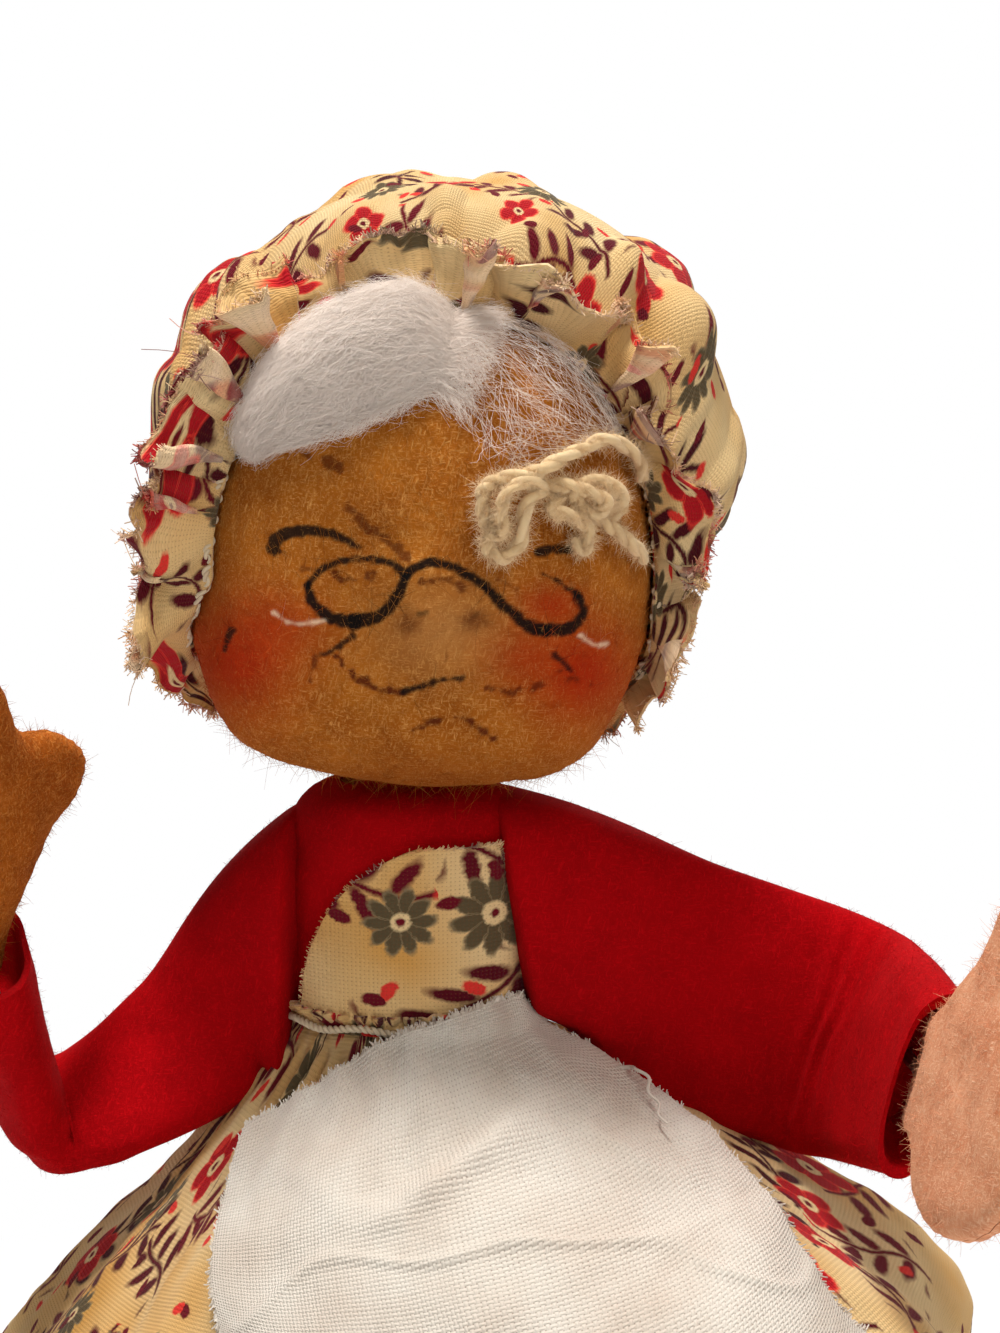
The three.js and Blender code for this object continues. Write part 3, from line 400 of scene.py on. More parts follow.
class Piece:
    """Gathers the points, faces, cloth coordinates and paint of one piece."""

    def __init__(self):
        self.points, self.flats, self.paints, self.faces, self.count = [], [], [], [], 0

    def add(self, points, faces, flat=None, paint=None):
        points = np.asarray(points, float).reshape(-1, 3)
        flat = points if flat is None else np.asarray(flat, float).reshape(len(points), -1)
        if flat.shape[1] == 2:
            flat = np.column_stack([flat, np.zeros(len(flat))])
        self.points.append(points)
        self.flats.append(flat)
        self.paints.append(np.zeros((len(points), 4)) if paint is None else paint.reshape(-1, 4))
        self.faces += [np.asarray(part) + self.count for part in faces]
        self.count += len(points)

    def shell(self, outer, inner, flat=None, paint=None, closed=False, marked=False):
        """A thin closed solid between two grids. A closed grid repeats its first column at its end.

        Where marked, the third cloth coordinate is 1 on the inner side.
        """
        rows, columns = outer.shape[:2]
        back = rows * columns
        faces = grid_faces(rows, columns)
        index = np.arange(back).reshape(rows, columns)
        rims = [index[0], index[-1][::-1]]
        if not closed:
            rims += [index[:, 0][::-1], index[:, -1]]
        edges = [joined(r[1:], r[:-1], r[:-1] + back, r[1:] + back) for r in rims]
        every = np.concatenate([faces, faces[:, ::-1] + back, *edges])
        both = np.concatenate([outer.reshape(-1, 3), inner.reshape(-1, 3)])
        flat, paint = (
            None if part is None else np.concatenate([part.reshape(back, -1)] * 2) for part in (flat, paint)
        )
        if marked:
            flat = np.column_stack([flat[:, :2], np.repeat([0.0, 1.0], back)])
        self.add(both, facing_out(both, every), flat, paint)

    def band(self, outer, thickness, flat):
        """A ring of cloth whose wrong side is marked."""
        self.shell(outer, outer + thickness * grid_normals(outer, True), flat, closed=True, marked=True)

    def loft(self, rings):
        """A closed solid through rings of points, each end drawn to its middle."""
        rows, columns = rings.shape[:2]
        points = np.concatenate([rings.reshape(-1, 3), rings[[0, -1]].mean(1)])
        index = np.arange(rows * columns).reshape(rows, columns)
        seam = joined(index[:-1, -1], index[:-1, 0], index[1:, 0], index[1:, -1])
        quads = np.concatenate([grid_faces(rows, columns), seam])
        first, last = index[0], index[-1]
        ends = np.concatenate([
            joined(rows * columns, np.roll(first, -1), first),
            joined(last, np.roll(last, -1), rows * columns + 1),
        ])
        self.add(points, facing_out(points, quads, ends))

    def tubes(self, paths, radius, sides=3, flat=None, paint=None):
        """A closed thin tube along each path; paths has one row of points for each tube."""
        count, length = paths.shape[:2]
        radius = np.broadcast_to(np.asarray(radius, float), (count, length))
        side, other = carried_axes(paths)
        angle = full_turn(sides)[:, None]
        ring = np.cos(angle) * side[:, :, None] + np.sin(angle) * other[:, :, None]
        points = paths[:, :, None] + radius[:, :, None, None] * ring
        index = np.arange(count * length * sides).reshape(count, length, sides)
        after = np.roll(index, -1, 2)
        quads = joined(index[:, :-1], after[:, :-1], after[:, 1:], index[:, 1:]).reshape(-1, 4)
        flat, paint = (None if part is None else np.repeat(part, length * sides, 0) for part in (flat, paint))
        self.add(points, [quads, index[:, 0, ::-1], index[:, -1]], flat, paint)

    def fuzz(
        self, points, normals, count, length, lean, seed, girth, steps=4, weights=None, paint=None, place=None
    ):
        """Short curved fibres that stand on some of the points, chosen evenly or by weight."""
        source = np.random.default_rng(seed)
        points, normals = points.reshape(-1, 3), normals.reshape(-1, 3)
        pick = source.choice(len(points), count, p=None if weights is None else weights / weights.sum())
        roots, normals = points[pick], normals[pick]
        drift = unit(source.normal(size=(count, 3)))
        drift = drift - np.sum(drift * normals, -1, keepdims=True) * normals
        heading = unit(normals * (1 - lean) + drift * lean * 1.4)
        bend = source.normal(size=(count, 3)) * 0.5
        reach = length * source.uniform(0.4, 1, (count, 1, 1))
        t = np.linspace(0, 1, steps)[None, :, None]
        paths = (roots - 0.05 * normals)[:, None] + reach * (heading[:, None] * t + bend[:, None] * t * t)
        paths = paths if place is None else place(paths)
        paint = None if paint is None else paint[pick]
        self.tubes(paths, np.linspace(*girth, steps), flat=roots, paint=paint)

    def make(self, name, material, weld):
        """The mesh object; points in the same place become one where it is welded."""
        points = np.concatenate(self.points)
        flats, paints = np.concatenate(self.flats), np.concatenate(self.paints)
        index = np.arange(len(points))
        if weld:
            _, first, index = np.unique(np.round(points, 4), axis=0, return_index=True, return_inverse=True)
            points, paints, index = points[first], paints[first], index.reshape(-1)
        corners, sizes = [], []
        for part in self.faces:
            merged = index[part]
            whole = np.all(merged != np.roll(merged, -1, 1), 1)
            corners.append(part[whole].reshape(-1))
            sizes.append(np.full(int(whole.sum()), part.shape[1]))
            for face, ids in zip(part[~whole], merged[~whole]):
                kept = face[ids != np.roll(ids, -1)]
                if len(kept) > 2:
                    corners.append(kept)
                    sizes.append([len(kept)])
        corners, sizes = np.concatenate(corners), np.concatenate(sizes)
        mesh = bpy.data.meshes.new(name)
        mesh.vertices.add(len(points))
        mesh.vertices.foreach_set("co", (points * MM + [*AXIS, 0]).ravel())
        mesh.loops.add(len(corners))
        mesh.loops.foreach_set("vertex_index", index[corners])
        mesh.polygons.add(len(sizes))
        mesh.polygons.foreach_set("loop_start", np.concatenate([[0], np.cumsum(sizes)[:-1]]))
        mesh.polygons.foreach_set("use_smooth", np.ones(len(sizes), bool))
        mesh.update(calc_edges=True)
        flat = mesh.attributes.new("flat", "FLOAT_VECTOR", "CORNER")
        flat.data.foreach_set("vector", flats[corners].ravel())
        if paints.any():
            paint = mesh.color_attributes.new("paint", "FLOAT_COLOR", "POINT")
            paint.data.foreach_set("color", paints.ravel())
        mesh.validate()
        mesh.set_sharp_from_angle(angle=math.radians(75))
        mesh.materials.append(material)
        made = bpy.data.objects.new(f"{name}_form", mesh)
        bpy.context.scene.collection.objects.link(made)
        return made


def dress(piece, name, material, body=None, weld=True):
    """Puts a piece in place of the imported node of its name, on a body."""
    made = piece.make(name, material, weld)
    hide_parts(name)
    if body:
        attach(made, body)
    return made


# Materials


def colour(red, green, blue):
    """A colour as it looks, from 0 to 255, turned into the linear numbers that nodes use."""
    c = np.array([red, green, blue]) / 255
    linear = np.where(c <= 0.04045, c / 12.92, ((c + 0.055) / 1.055) ** 2.4)
    return (*linear, 1.0)


class Term:
    """A number inside a node tree. Arithmetic on it adds nodes."""

    def __init__(self, nodes, socket):
        self.nodes, self.socket = nodes, socket

    def __add__(self, other):
        return self.nodes.math("ADD", self, other)

    def __sub__(self, other):
        return self.nodes.math("SUBTRACT", self, other)

    def __rsub__(self, other):
        return self.nodes.math("SUBTRACT", other, self)

    def __mul__(self, other):
        return self.nodes.math("MULTIPLY", self, other)

    def __truediv__(self, other):
        return self.nodes.math("DIVIDE", self, other)

    def __mod__(self, other):
        return self.nodes.math("FLOORED_MODULO", self, other)

    def __abs__(self):
        return self.nodes.math("ABSOLUTE", self)

    __radd__, __rmul__ = __add__, __mul__


class Nodes:
    """The node tree of a material or a world."""

    def __init__(self, holder):
        holder.use_nodes = True
        self.holder, self.tree = holder, holder.node_tree

    def feed(self, socket, value):
        value = value.socket if isinstance(value, Term) else value
        if isinstance(value, bpy.types.NodeSocket):
            self.tree.links.new(value, socket)
        else:
            socket.default_value = value

    def node(self, kind, values=None, **settings):
        """Adds a node, and feeds values to its sockets by their numbers or names."""
        node = self.tree.nodes.new("ShaderNode" + kind)
        for key, value in settings.items():
            setattr(node, key, value)
        for key, value in (values or {}).items():
            self.feed(node.inputs[key], value)
        return node

    def math(self, operation, *values, clamp=False):
        node = self.node("Math", dict(enumerate(values)), operation=operation, use_clamp=clamp)
        return Term(self, node.outputs[0])

    def seen_directly(self):
        """1 for rays that the camera, a gloss or a glass sends, else 0."""
        path = self.node("LightPath").outputs
        seen = self.math("MAXIMUM", path["Is Camera Ray"], path["Is Glossy Ray"])
        return self.math("MAXIMUM", seen, path["Is Transmission Ray"])


class Shader(Nodes):
    """A material whose nodes are written as arithmetic."""

    def __init__(self, name, roughness, sheen=0.0, sheen_roughness=0.5, metallic=0.0, subsurface=0.0):
        super().__init__(bpy.data.materials.new(name))
        self.surface = self.tree.nodes["Principled BSDF"]
        self.put("Roughness", roughness)
        self.put("Sheen Weight", sheen)
        self.put("Sheen Roughness", sheen_roughness)
        self.put("Metallic", metallic)
        self.put("Specular IOR Level", 0.08)
        if subsurface:
            self.put("Subsurface Weight", subsurface)
            self.put("Subsurface Radius", (1.0, 0.8, 0.7))
            self.put("Subsurface Scale", 0.0015)

    def put(self, name, value):
        self.feed(self.surface.inputs[name], value)

    def flat(self):
        """The place on the cloth, as a vector."""
        return self.node("Attribute", attribute_name="flat").outputs["Vector"]

    def split(self, vector):
        return [Term(self, socket) for socket in self.node("SeparateXYZ", {0: vector}).outputs]

    def pack(self, x, y, z=0.0):
        return self.node("CombineXYZ", {0: x, 1: y, 2: z}).outputs[0]

    def grain(self, vector, size, detail=2.0, rough=0.5):
        """Noise from 0 to 1 whose bumps are about size mm wide."""
        values = {"Vector": vector, "Scale": 1 / size, "Detail": detail, "Roughness": rough}
        return Term(self, self.node("TexNoise", values).outputs[0])

    def cells(self, x, y, size, loose):
        """Scattered cells: place from the cell's middle, in mm, and three random numbers of the cell."""
        values = {"Vector": self.pack(x / size, y / size), "Scale": 1, "Randomness": loose}
        node = self.node("TexVoronoi", values, voronoi_dimensions="2D")
        mx, my, _ = self.split(node.outputs["Position"])
        return x - mx * size, y - my * size, self.split(node.outputs["Color"])

    def turned(self, x, y, angle):
        c, s = self.math("COSINE", angle), self.math("SINE", angle)
        return x * c + y * s, y * c - x * s

    def length(self, x, y):
        return self.math("SQRT", x * x + y * y)

    def inside(self, distance, soft):
        """1 where a distance is below 0, 0 where it is above, with a soft edge."""
        return self.math("MULTIPLY_ADD", distance, -1 / soft, 0.5, clamp=True)

    def mix(self, share, first, second):
        """Between two tones; a tuple is a colour as it looks, from 0 to 255."""
        first, second = (colour(*tone) if isinstance(tone, tuple) else tone for tone in (first, second))
        return self.node("Mix", {0: share, 6: first, 7: second}, data_type="RGBA").outputs[2]

    def spread(self, value, low, high):
        """A value's part between low and high, as 0 to 1."""
        return self.math("MULTIPLY_ADD", value, 1 / (high - low), -low / (high - low), clamp=True)

    def finish(self, base, height, depth):
        """The material, with its base colour and bumps up to depth mm."""
        self.put("Base Color", base)
        bumps = self.node("Bump", {"Strength": 1, "Distance": depth * MM, "Height": height})
        self.put("Normal", bumps.outputs[0])
        return self.holder


def felt(name, dark, middle, light, painted=False, depth=0.16, sheen=0.25, calm=0.2):
    """Matted wool: fine crossing fibres, cloudy colour and a soft nap."""
    s = Shader(name, 0.95, sheen, 0.45)
    s.put("Sheen Tint", colour(*light))
    place = s.flat()
    x, y, z = s.split(place)
    warp = s.grain(place, 1.6)
    strand = s.grain(s.pack(x * 2.2 + warp * 3, y * 0.5, z * 0.6 + warp * 2), 0.35, 3, 0.6)
    cross = s.grain(s.pack(x * 0.5 + warp * 2, y * 2.0 + warp * 3, z * 2.0), 0.35, 3, 0.6)
    fibres = s.math("MAXIMUM", strand, cross)
    tone = s.mix(s.spread(s.grain(place, 5.0, 3), 0.5 - calm, 0.5 + calm), dark, middle)
    tone = s.mix(s.spread(fibres, 0.52, 0.74), tone, light)
    if painted:
        # The paint includes painted shade on the chin and the face's edge, and a painted highlight on the
        # nose
        paint = s.node("Attribute", attribute_name="paint").outputs
        cover = s.math("MULTIPLY", paint["Alpha"], s.spread(fibres, 1.0, 0.62))
        tone = s.mix(cover, tone, paint["Color"])
    return s.finish(tone, fibres + 0.4 * s.grain(place, 0.9), depth)


def weave(s, x, y):
    """Height of a plain weave with uneven threads."""
    wander = s.grain(s.pack(x, y), 6.0) * 0.25
    across, down = (s.math("SINE", (part + wander) * (math.pi / THREAD_PITCH)) for part in (x, y))
    over = across * down * 1.6
    lift = s.math("MAXIMUM", abs(across) * (0.65 + over * 0.35), abs(down) * (0.65 - over * 0.35))
    slub = s.grain(s.pack(x * 2.0, y * 0.12), 1.0) + s.grain(s.pack(x * 0.12, y * 2.0), 1.0)
    return lift + 0.3 * slub


def calico(name):
    """Printed cotton: scattered five-petal blossoms, daisies and leafy sprigs on cream."""
    s = Shader(name, 0.88, 0.08)
    x, y, wrong = s.split(s.flat())
    threads = weave(s, x, y)
    stir, ragged = s.grain(s.pack(x, y), 1.8) - 0.5, s.grain(s.pack(x, y), 0.45) - 0.5
    x, y = (x + stir * 0.6 + ragged * 0.5) * PRINT_SCALE, (y - stir * 0.6 + ragged * 0.4) * PRINT_SCALE
    tone = s.mix(s.spread(s.grain(s.pack(x, y), 14.0), 0.35, 0.7), CREAM, CREAM_DEEP)
    # Sprigs: a bent stem with pairs of leaves and a berry at its tip
    px, py, (heading, shade, _) = s.cells(x, y, SPRIG_APART, 0.8)
    px, py = s.turned(px, py, heading * (2 * math.pi))
    py = py + s.math("SINE", px * 0.55) * 0.7
    stem = s.inside(s.math("MAXIMUM", abs(py) - 0.26, abs(px) - 5.4), 0.32)
    lean = (px + 20) % 2.7 - 1.35 - abs(py) * 0.55 + 0.75
    leaf = s.length(lean / 0.74, (abs(py) - 1.45) / 1.35) - 1
    leaves = s.inside(s.math("MAXIMUM", leaf * 0.6, abs(px) - 4.4), 0.32)
    shade = s.mix(s.spread(shade, 0.3, 0.7), MAROON, MAROON_DARK)
    tone = s.mix(s.math("MAXIMUM", stem, leaves), tone, shade)
    tone = s.mix(s.inside(s.length(px - 5.6, py) - 0.62, 0.3), tone, CORAL)
    # Flowers: five broad petals or ten narrow ones
    px, py, (heading, kind, size) = s.cells(x + 6.1, y + 2.7, FLOWER_APART, 0.7)
    radius = s.length(px, py)
    angle = s.math("ARCTAN2", py, px) + heading * 6.0
    size = size + 2.4
    for petal_pairs, chosen, fill, deep in (
        (2.5, s.inside(kind - 0.4, 0.01), CORAL, CORAL_DEEP),
        (5, s.inside(0.4 - kind, 0.01) * s.inside(kind - 0.72, 0.01), OLIVE, OLIVE_DEEP),
    ):
        petals = abs(s.math("COSINE", angle * petal_pairs))
        rim = radius - size * (petals * 0.34 + 0.66)
        vein = s.inside(abs(petals - 0.18) - 0.1, 0.1) * s.inside(radius - size * 0.75, 0.2)
        inner = s.math("MAXIMUM", vein, s.inside(0 - rim - 0.28, 0.2))
        tone = s.mix(s.inside(rim, 0.36) * chosen, tone, s.mix(inner, deep, fill))
        tone = s.mix(s.inside(radius - size * 0.27, 0.2) * chosen, tone, CREAM)
        tone = s.mix(s.inside(radius - 0.32, 0.2) * chosen, tone, MAROON)
    # Small scattered buds
    px, py, (heading, share, kind) = s.cells(x + 1.3, y + 8.8, BUD_APART, 0.9)
    px, py = s.turned(px, py, heading * 6.3)
    bud = s.inside(s.length(px / 1.9, py) - 0.46, 0.15) * s.inside(0.35 - share, 0.01)
    tone = s.mix(bud, tone, s.mix(s.inside(0.5 - kind, 0.01), MAROON, CORAL))
    # The print shows through on the wrong side, and the gaps between threads are darkened with painted shade
    pale = s.spread(s.grain(s.pack(x, y), 3.0), 0.3, 0.7) * 0.5 + 0.2
    bloom = s.spread(s.grain(s.pack(x + 40, y), 4.5), 0.5, 0.6)
    tone = s.mix(wrong * pale, tone, s.mix(bloom, WRONG_SIDE, WRONG_SIDE_BLOOM))
    tone = s.mix(s.spread(threads, 0.7, 0.25) * 0.6, tone, THREAD_GAP_SHADE)
    return s.finish(tone, threads, 0.08)


def muslin(name, light, dark, deep):
    """Plain unbleached cotton."""
    s = Shader(name, 0.9, 0.1)
    x, y, _ = s.split(s.flat())
    threads = weave(s, x, y)
    tone = s.mix(s.spread(s.grain(s.pack(x, y), 9.0, 3), 0.35, 0.75) * 0.6, light, dark)
    # The gaps between threads are darkened toward the deepest tone, as painted shade
    return s.finish(s.mix(s.spread(threads, 0.66, 0.28) * 0.8, tone, deep), threads, 0.12)


def fibre(name, light, dark, subsurface=0.0):
    """Loose thread or wool; each strand has its own place in the colour's range."""
    s = Shader(name, 0.9, 0.2, subsurface=subsurface)
    place = s.flat()
    return s.finish(s.mix(s.grain(place, 0.8, 3), dark, light), s.grain(place, 0.2), 0.04)


def metal(name, light, dark):
    """Drawn wire, finely scratched."""
    s = Shader(name, 0.4, metallic=1.0)
    s.put("Specular IOR Level", 0.5)
    scratch = s.grain(s.node("TexCoord").outputs["Object"], 0.8 * MM, 3)
    s.put("Roughness", 0.3 + scratch * 0.25)
    return s.finish(s.mix(scratch, dark, light), scratch, 0.02)


RED = felt("red_felt", *RED_TONES, depth=0.08, sheen=0.06, calm=0.45)
SKIN = felt("skin_felt", *SKIN_TONES, painted=True, depth=0.2, sheen=0.12)
BACK_SKIN = felt("skin_felt_back", *SKIN_TONES, depth=0.2, sheen=0.12)
# One hand felt, as a darker copy with painted shade and a lighter copy with painted light
SHADED_HAND_FELT = felt("hand_felt_painted_shade", *SHADED_HAND_TONES, sheen=0.12)
LIT_HAND_FELT = felt("hand_felt_painted_light", *LIT_HAND_TONES, sheen=0.15)
BLACK = felt("black_felt", *BLACK_TONES)
CALICO = calico("print_cotton")
MUSLIN = muslin("muslin", *MUSLIN_TONES_AND_GAP_SHADE)
WOOL = fibre("white_wool", *WOOL_TONES)
YARN = fibre("cream_yarn", *YARN_TONES, 0.15)
THREAD = fibre("thread", *THREAD_TONES)
BATTING = fibre("batting", *BATTING_TONES)
WIRE = metal("wire", *WIRE_TONES)


# Torso


def torso_point(turn, z, lift, square=TORSO_SQUARE):
    """A point of the torso, or a lift above it."""
    t = np.abs(2 * (z - TORSO_BOTTOM) / TORSO_HEIGHT - 1)
    swell = np.sqrt(np.clip(1 - t**square, 0, 1))
    x = (TORSO_HALF_WIDTH * swell + lift) * np.cos(turn)
    y = (TORSO_HALF_DEPTH * swell + lift) * np.sin(turn)
    return joined(x, y, z)


def make_stuffing(name, rings, body):
    """A lumpy core of batting."""
    piece = Piece()
    piece.loft(rings + noise(rings, 2.5, 3)[..., None] * 0.25)
    dress(piece, name, BATTING, body)


def make_torso_stuffing():
    z = np.linspace(BODICE_LOW + 0.6, BODICE_TOP - 2.5, 40)[:, None]
    make_stuffing("torso_stuffing", torso_point(full_turn(48), z, -FELT - TORSO_ROOM), "torso")


def make_bodice(name, side):
    """Half of the felt body, open at the neck, with soft creases at the waist."""
    turn, z = np.meshgrid(np.linspace(0, np.pi, 121) * side, np.linspace(BODICE_LOW, BODICE_TOP, 110))
    outer = torso_point(turn, z, 0.0, BODICE_SQUARE)
    crease = noise(outer * [1, 1, 2.5], 7, 1) * 0.35 + noise(outer, 1.1, 2) * 0.04
    pull = -0.25 * bump(z - THREAD_Z, 3)
    normal = grid_normals(outer)
    normal *= np.sign(np.sum(normal * outer * [1, 1, 0], -1, keepdims=True))
    edge = np.sin(turn * side)[..., None] ** 0.3
    outer = outer + normal * (crease + pull)[..., None] * edge
    piece = Piece()
    piece.shell(outer, torso_point(turn, z, -FELT, BODICE_SQUARE))
    dress(piece, name, RED, "torso")


def bib_point(a, t, lift):
    """A point of the bib, a across it and t up it; one side is round and the other straight."""
    left = lerp(BIB_TOP_TURN, -BIB_LEFT_TURN, (1 - np.minimum(t, 1) ** 1.8) ** 0.6)
    right = lerp(BIB_RIGHT_TURN, BIB_CORNER_TURN, t)
    turn = lerp(left, right, (a + 1) / 2) - np.pi / 2
    return torso_point(turn, BIB_LOW + BIB_HEIGHT * t, lift, BODICE_SQUARE)


def make_bib():
    a, t = np.meshgrid(np.linspace(-1, 1, 90), np.linspace(0, 0.99, 90))
    place = bib_point(a, t, 0.0)
    ripple = 0.85 + 0.25 * noise(place, 5, 4) + 0.35 * smoothstep(np.abs(a), 0.8, 1) * noise(place, 2.2, 5)
    piece = Piece()
    piece.shell(bib_point(a, t, ripple), bib_point(a, t, ripple - BIB_CLOTH), place[..., [0, 2]] + BIB_PRINT)
    rims = np.concatenate([joined(a[:, 0], t[:, 0]), joined(a[:, -1], t[:, -1]), joined(a[-1], t[-1])])
    across, up = rims[random.integers(0, len(rims), BIB_FRINGE)].T
    root = bib_point(across, up, 0.7)
    run = unit(root - bib_point(across * 0.9, up * 0.98, 0.7))
    run = unit(run + random.normal(size=run.shape) * 0.5)
    steps = np.linspace(-0.2, 1, 4)[None, :, None] * random.uniform(0.2, 0.6, (BIB_FRINGE, 1, 1))
    spots = np.column_stack([root[:, [0, 2]] + BIB_PRINT, random.uniform(0, 1, BIB_FRINGE)])
    piece.tubes(root[:, None] + run[:, None] * steps, 0.05, flat=spots)
    dress(piece, "bib", CALICO, "torso")


def ply(path, radius, turns):
    """Two strands twisted round a path of points."""
    side, other = (axis[0] for axis in carried_axes(path[None]))
    run = np.linspace(0, 2 * np.pi * turns, len(path))[:, None]
    strands = (np.cos(run + start) * side + np.sin(run + start) * other for start in (0, np.pi))
    return np.array([path + radius * strand for strand in strands])


def make_thread(name, ring, spread, turns, girth, body):
    """Two twisted plies along a closed ring of points."""
    piece = Piece()
    piece.tubes(ply(ring, spread, turns), girth, 6, flat=THREAD_SPOTS)
    dress(piece, name, THREAD, body, weld=False)


def make_waist_thread():
    turn = np.linspace(0, 2 * np.pi, 721)
    ring = torso_point(turn, THREAD_Z + 0.25 * np.sin(9 * turn), 1.0)
    make_thread("waist_thread", ring, 0.2, 60, 0.22, "torso")


# Skirt and apron


def skirt_envelope(turn, drop):
    """The skirt without its pleats, at a turn round the doll and a drop from its waist to its hem."""
    slope = np.radians(lerp(*FLARE_SLOPES, 0.5 + 0.5 * np.cos(turn)))
    reach, fall = FLARE_LENGTH * np.cos(slope), FLARE_LENGTH * np.sin(slope)
    puff = SKIRT_PUFF * smoothstep(np.cos(turn - PUFF_TURN), 0.4, 1) * bump(drop - PUFF_DROP, 0.2)

    def wide(waist, hem):
        start = waist + WAIST_ROOM
        return bezier(start, start + reach, 1.06 * hem, hem, drop) + puff

    x = wide(TORSO_HALF_WIDTH, HEM_HALF_WIDTH) * np.cos(turn)
    y = wide(TORSO_HALF_DEPTH, HEM_HALF_DEPTH) * np.sin(turn)
    return joined(x, y, bezier(WAIST_Z, WAIST_Z - fall, HEM_Z + BELL_HEIGHT, HEM_Z, drop))


def skirt_normal(turn, drop):
    """The way out of the skirt's envelope."""
    nudge = 1e-3
    round_it = skirt_envelope(turn + nudge, drop) - skirt_envelope(turn - nudge, drop)
    down = skirt_envelope(turn, drop - nudge) - skirt_envelope(turn, drop + nudge)
    return unit(np.cross(round_it, down))


def make_skirt():
    """Pleats that open towards the hem, small gathers at the waist and a heading above the thread."""
    rows = np.concatenate([np.linspace(-1, 0, 12)[:-1], np.linspace(0, 1, 150)])
    turn, row = np.meshgrid(np.linspace(0.5 * np.pi, 2.5 * np.pi, 721), rows)
    drop, rise = np.maximum(row, 0), np.maximum(-row, 0)
    sway = 0.9 * waves(turn, 2, 6, 4, 3) + 0.5 * drop * waves(turn, 2, 5, 3, 4)
    pleat = 0.5 - 0.5 * np.cos(PLEATS * turn + sway)
    small = 0.5 - 0.5 * np.cos(2.0 * PLEATS * turn + 2.4 * waves(turn, 3, 9, 5, 6))
    fan = drop**0.7 * (0.75 + 0.35 * waves(turn, 3, 11, 5, 7))
    gather = 0.5 + 0.5 * np.cos(GATHERS * turn + 2 * waves(turn, 3, 9, 4, 5))
    inward = PLEAT_DEPTH * fan * (pleat**1.5 + 0.45 * small * (1 - pleat))
    inward = inward + 1.3 * gather * np.exp(-drop / 0.12) * smoothstep(drop, 0, 0.02)
    base = skirt_envelope(turn, drop)
    rumple = 0.9 * (0.5 + 0.5 * noise(base, 9, 6)) + 0.3 * noise(base, 3.2, 7)
    inward = inward + rumple * smoothstep(drop, 0.02, 0.2)
    outer = base - skirt_normal(turn, drop) * (inward + 0.1)[..., None]
    # The heading: drawn in under the thread and standing free above it
    frill = 0.5 + 0.9 * gather + 0.4 * noise(base + 9 * rise[..., None], 2.0, 46)
    wall = 0.25 + 0.3 * gather + smoothstep(rise, 0.6, 1) * frill
    lift = lerp(WAIST_ROOM - 0.1, wall, smoothstep(rise, 0, 0.4))
    outer = np.where(row[..., None] < 0, torso_point(turn, WAIST_Z + HEADING * rise, lift), outer)
    outer[:, -1] = outer[:, 0]
    down = row * np.where(row < 0, HEADING_PRINT, SKIRT_PRINT_TALL)
    piece = Piece()
    piece.band(outer, SKIRT_CLOTH, joined(turn / (2 * np.pi) * SKIRT_PRINT_LONG, down))
    dress(piece, "skirt", CALICO, "torso")


def apron_place(a, t):
    """Turn and drop on the skirt of a point of the apron, a across it and t down it."""
    right = np.radians(lerp(*APRON_RIGHT_SIDE, t))
    left = np.radians(lerp(*APRON_LEFT_SIDE, smoothstep(t, 0, 0.9)))
    turn = np.radians(lerp(*APRON_SWING, t)) - np.pi / 2 + a * np.where(a < 0, right, left)
    return turn, APRON_LENGTH * t * (1 - 0.3 * a * a * t)


def apron_point(a, t, lift):
    """On the skirt, or above its top, where t is below 0, on the bodice."""
    turn, drop = apron_place(a, np.maximum(t, 0))
    rise = np.maximum(-t, 0)
    slim = 1 - 1.6 * rise
    base = skirt_envelope(turn, drop) * joined(slim, slim, 1) + joined(0, 0, 40 * rise)
    out = unit(joined(np.cos(turn), np.sin(turn), 0.5))
    away = unit(lerp(out, skirt_normal(turn, drop), smoothstep(t, -0.06, 0.1)[..., None]))
    return base + away * lift[..., None]


def apron_top(a):
    """Where the apron's slanted top edge starts: high on the doll's left, low on its right."""
    along = np.clip((a + 1) / 1.8, 0, 1)
    return lerp(0.15, -0.09, 1 - (1 - along) ** 1.9) + 0.06 * smoothstep(a, 0.7, 1)


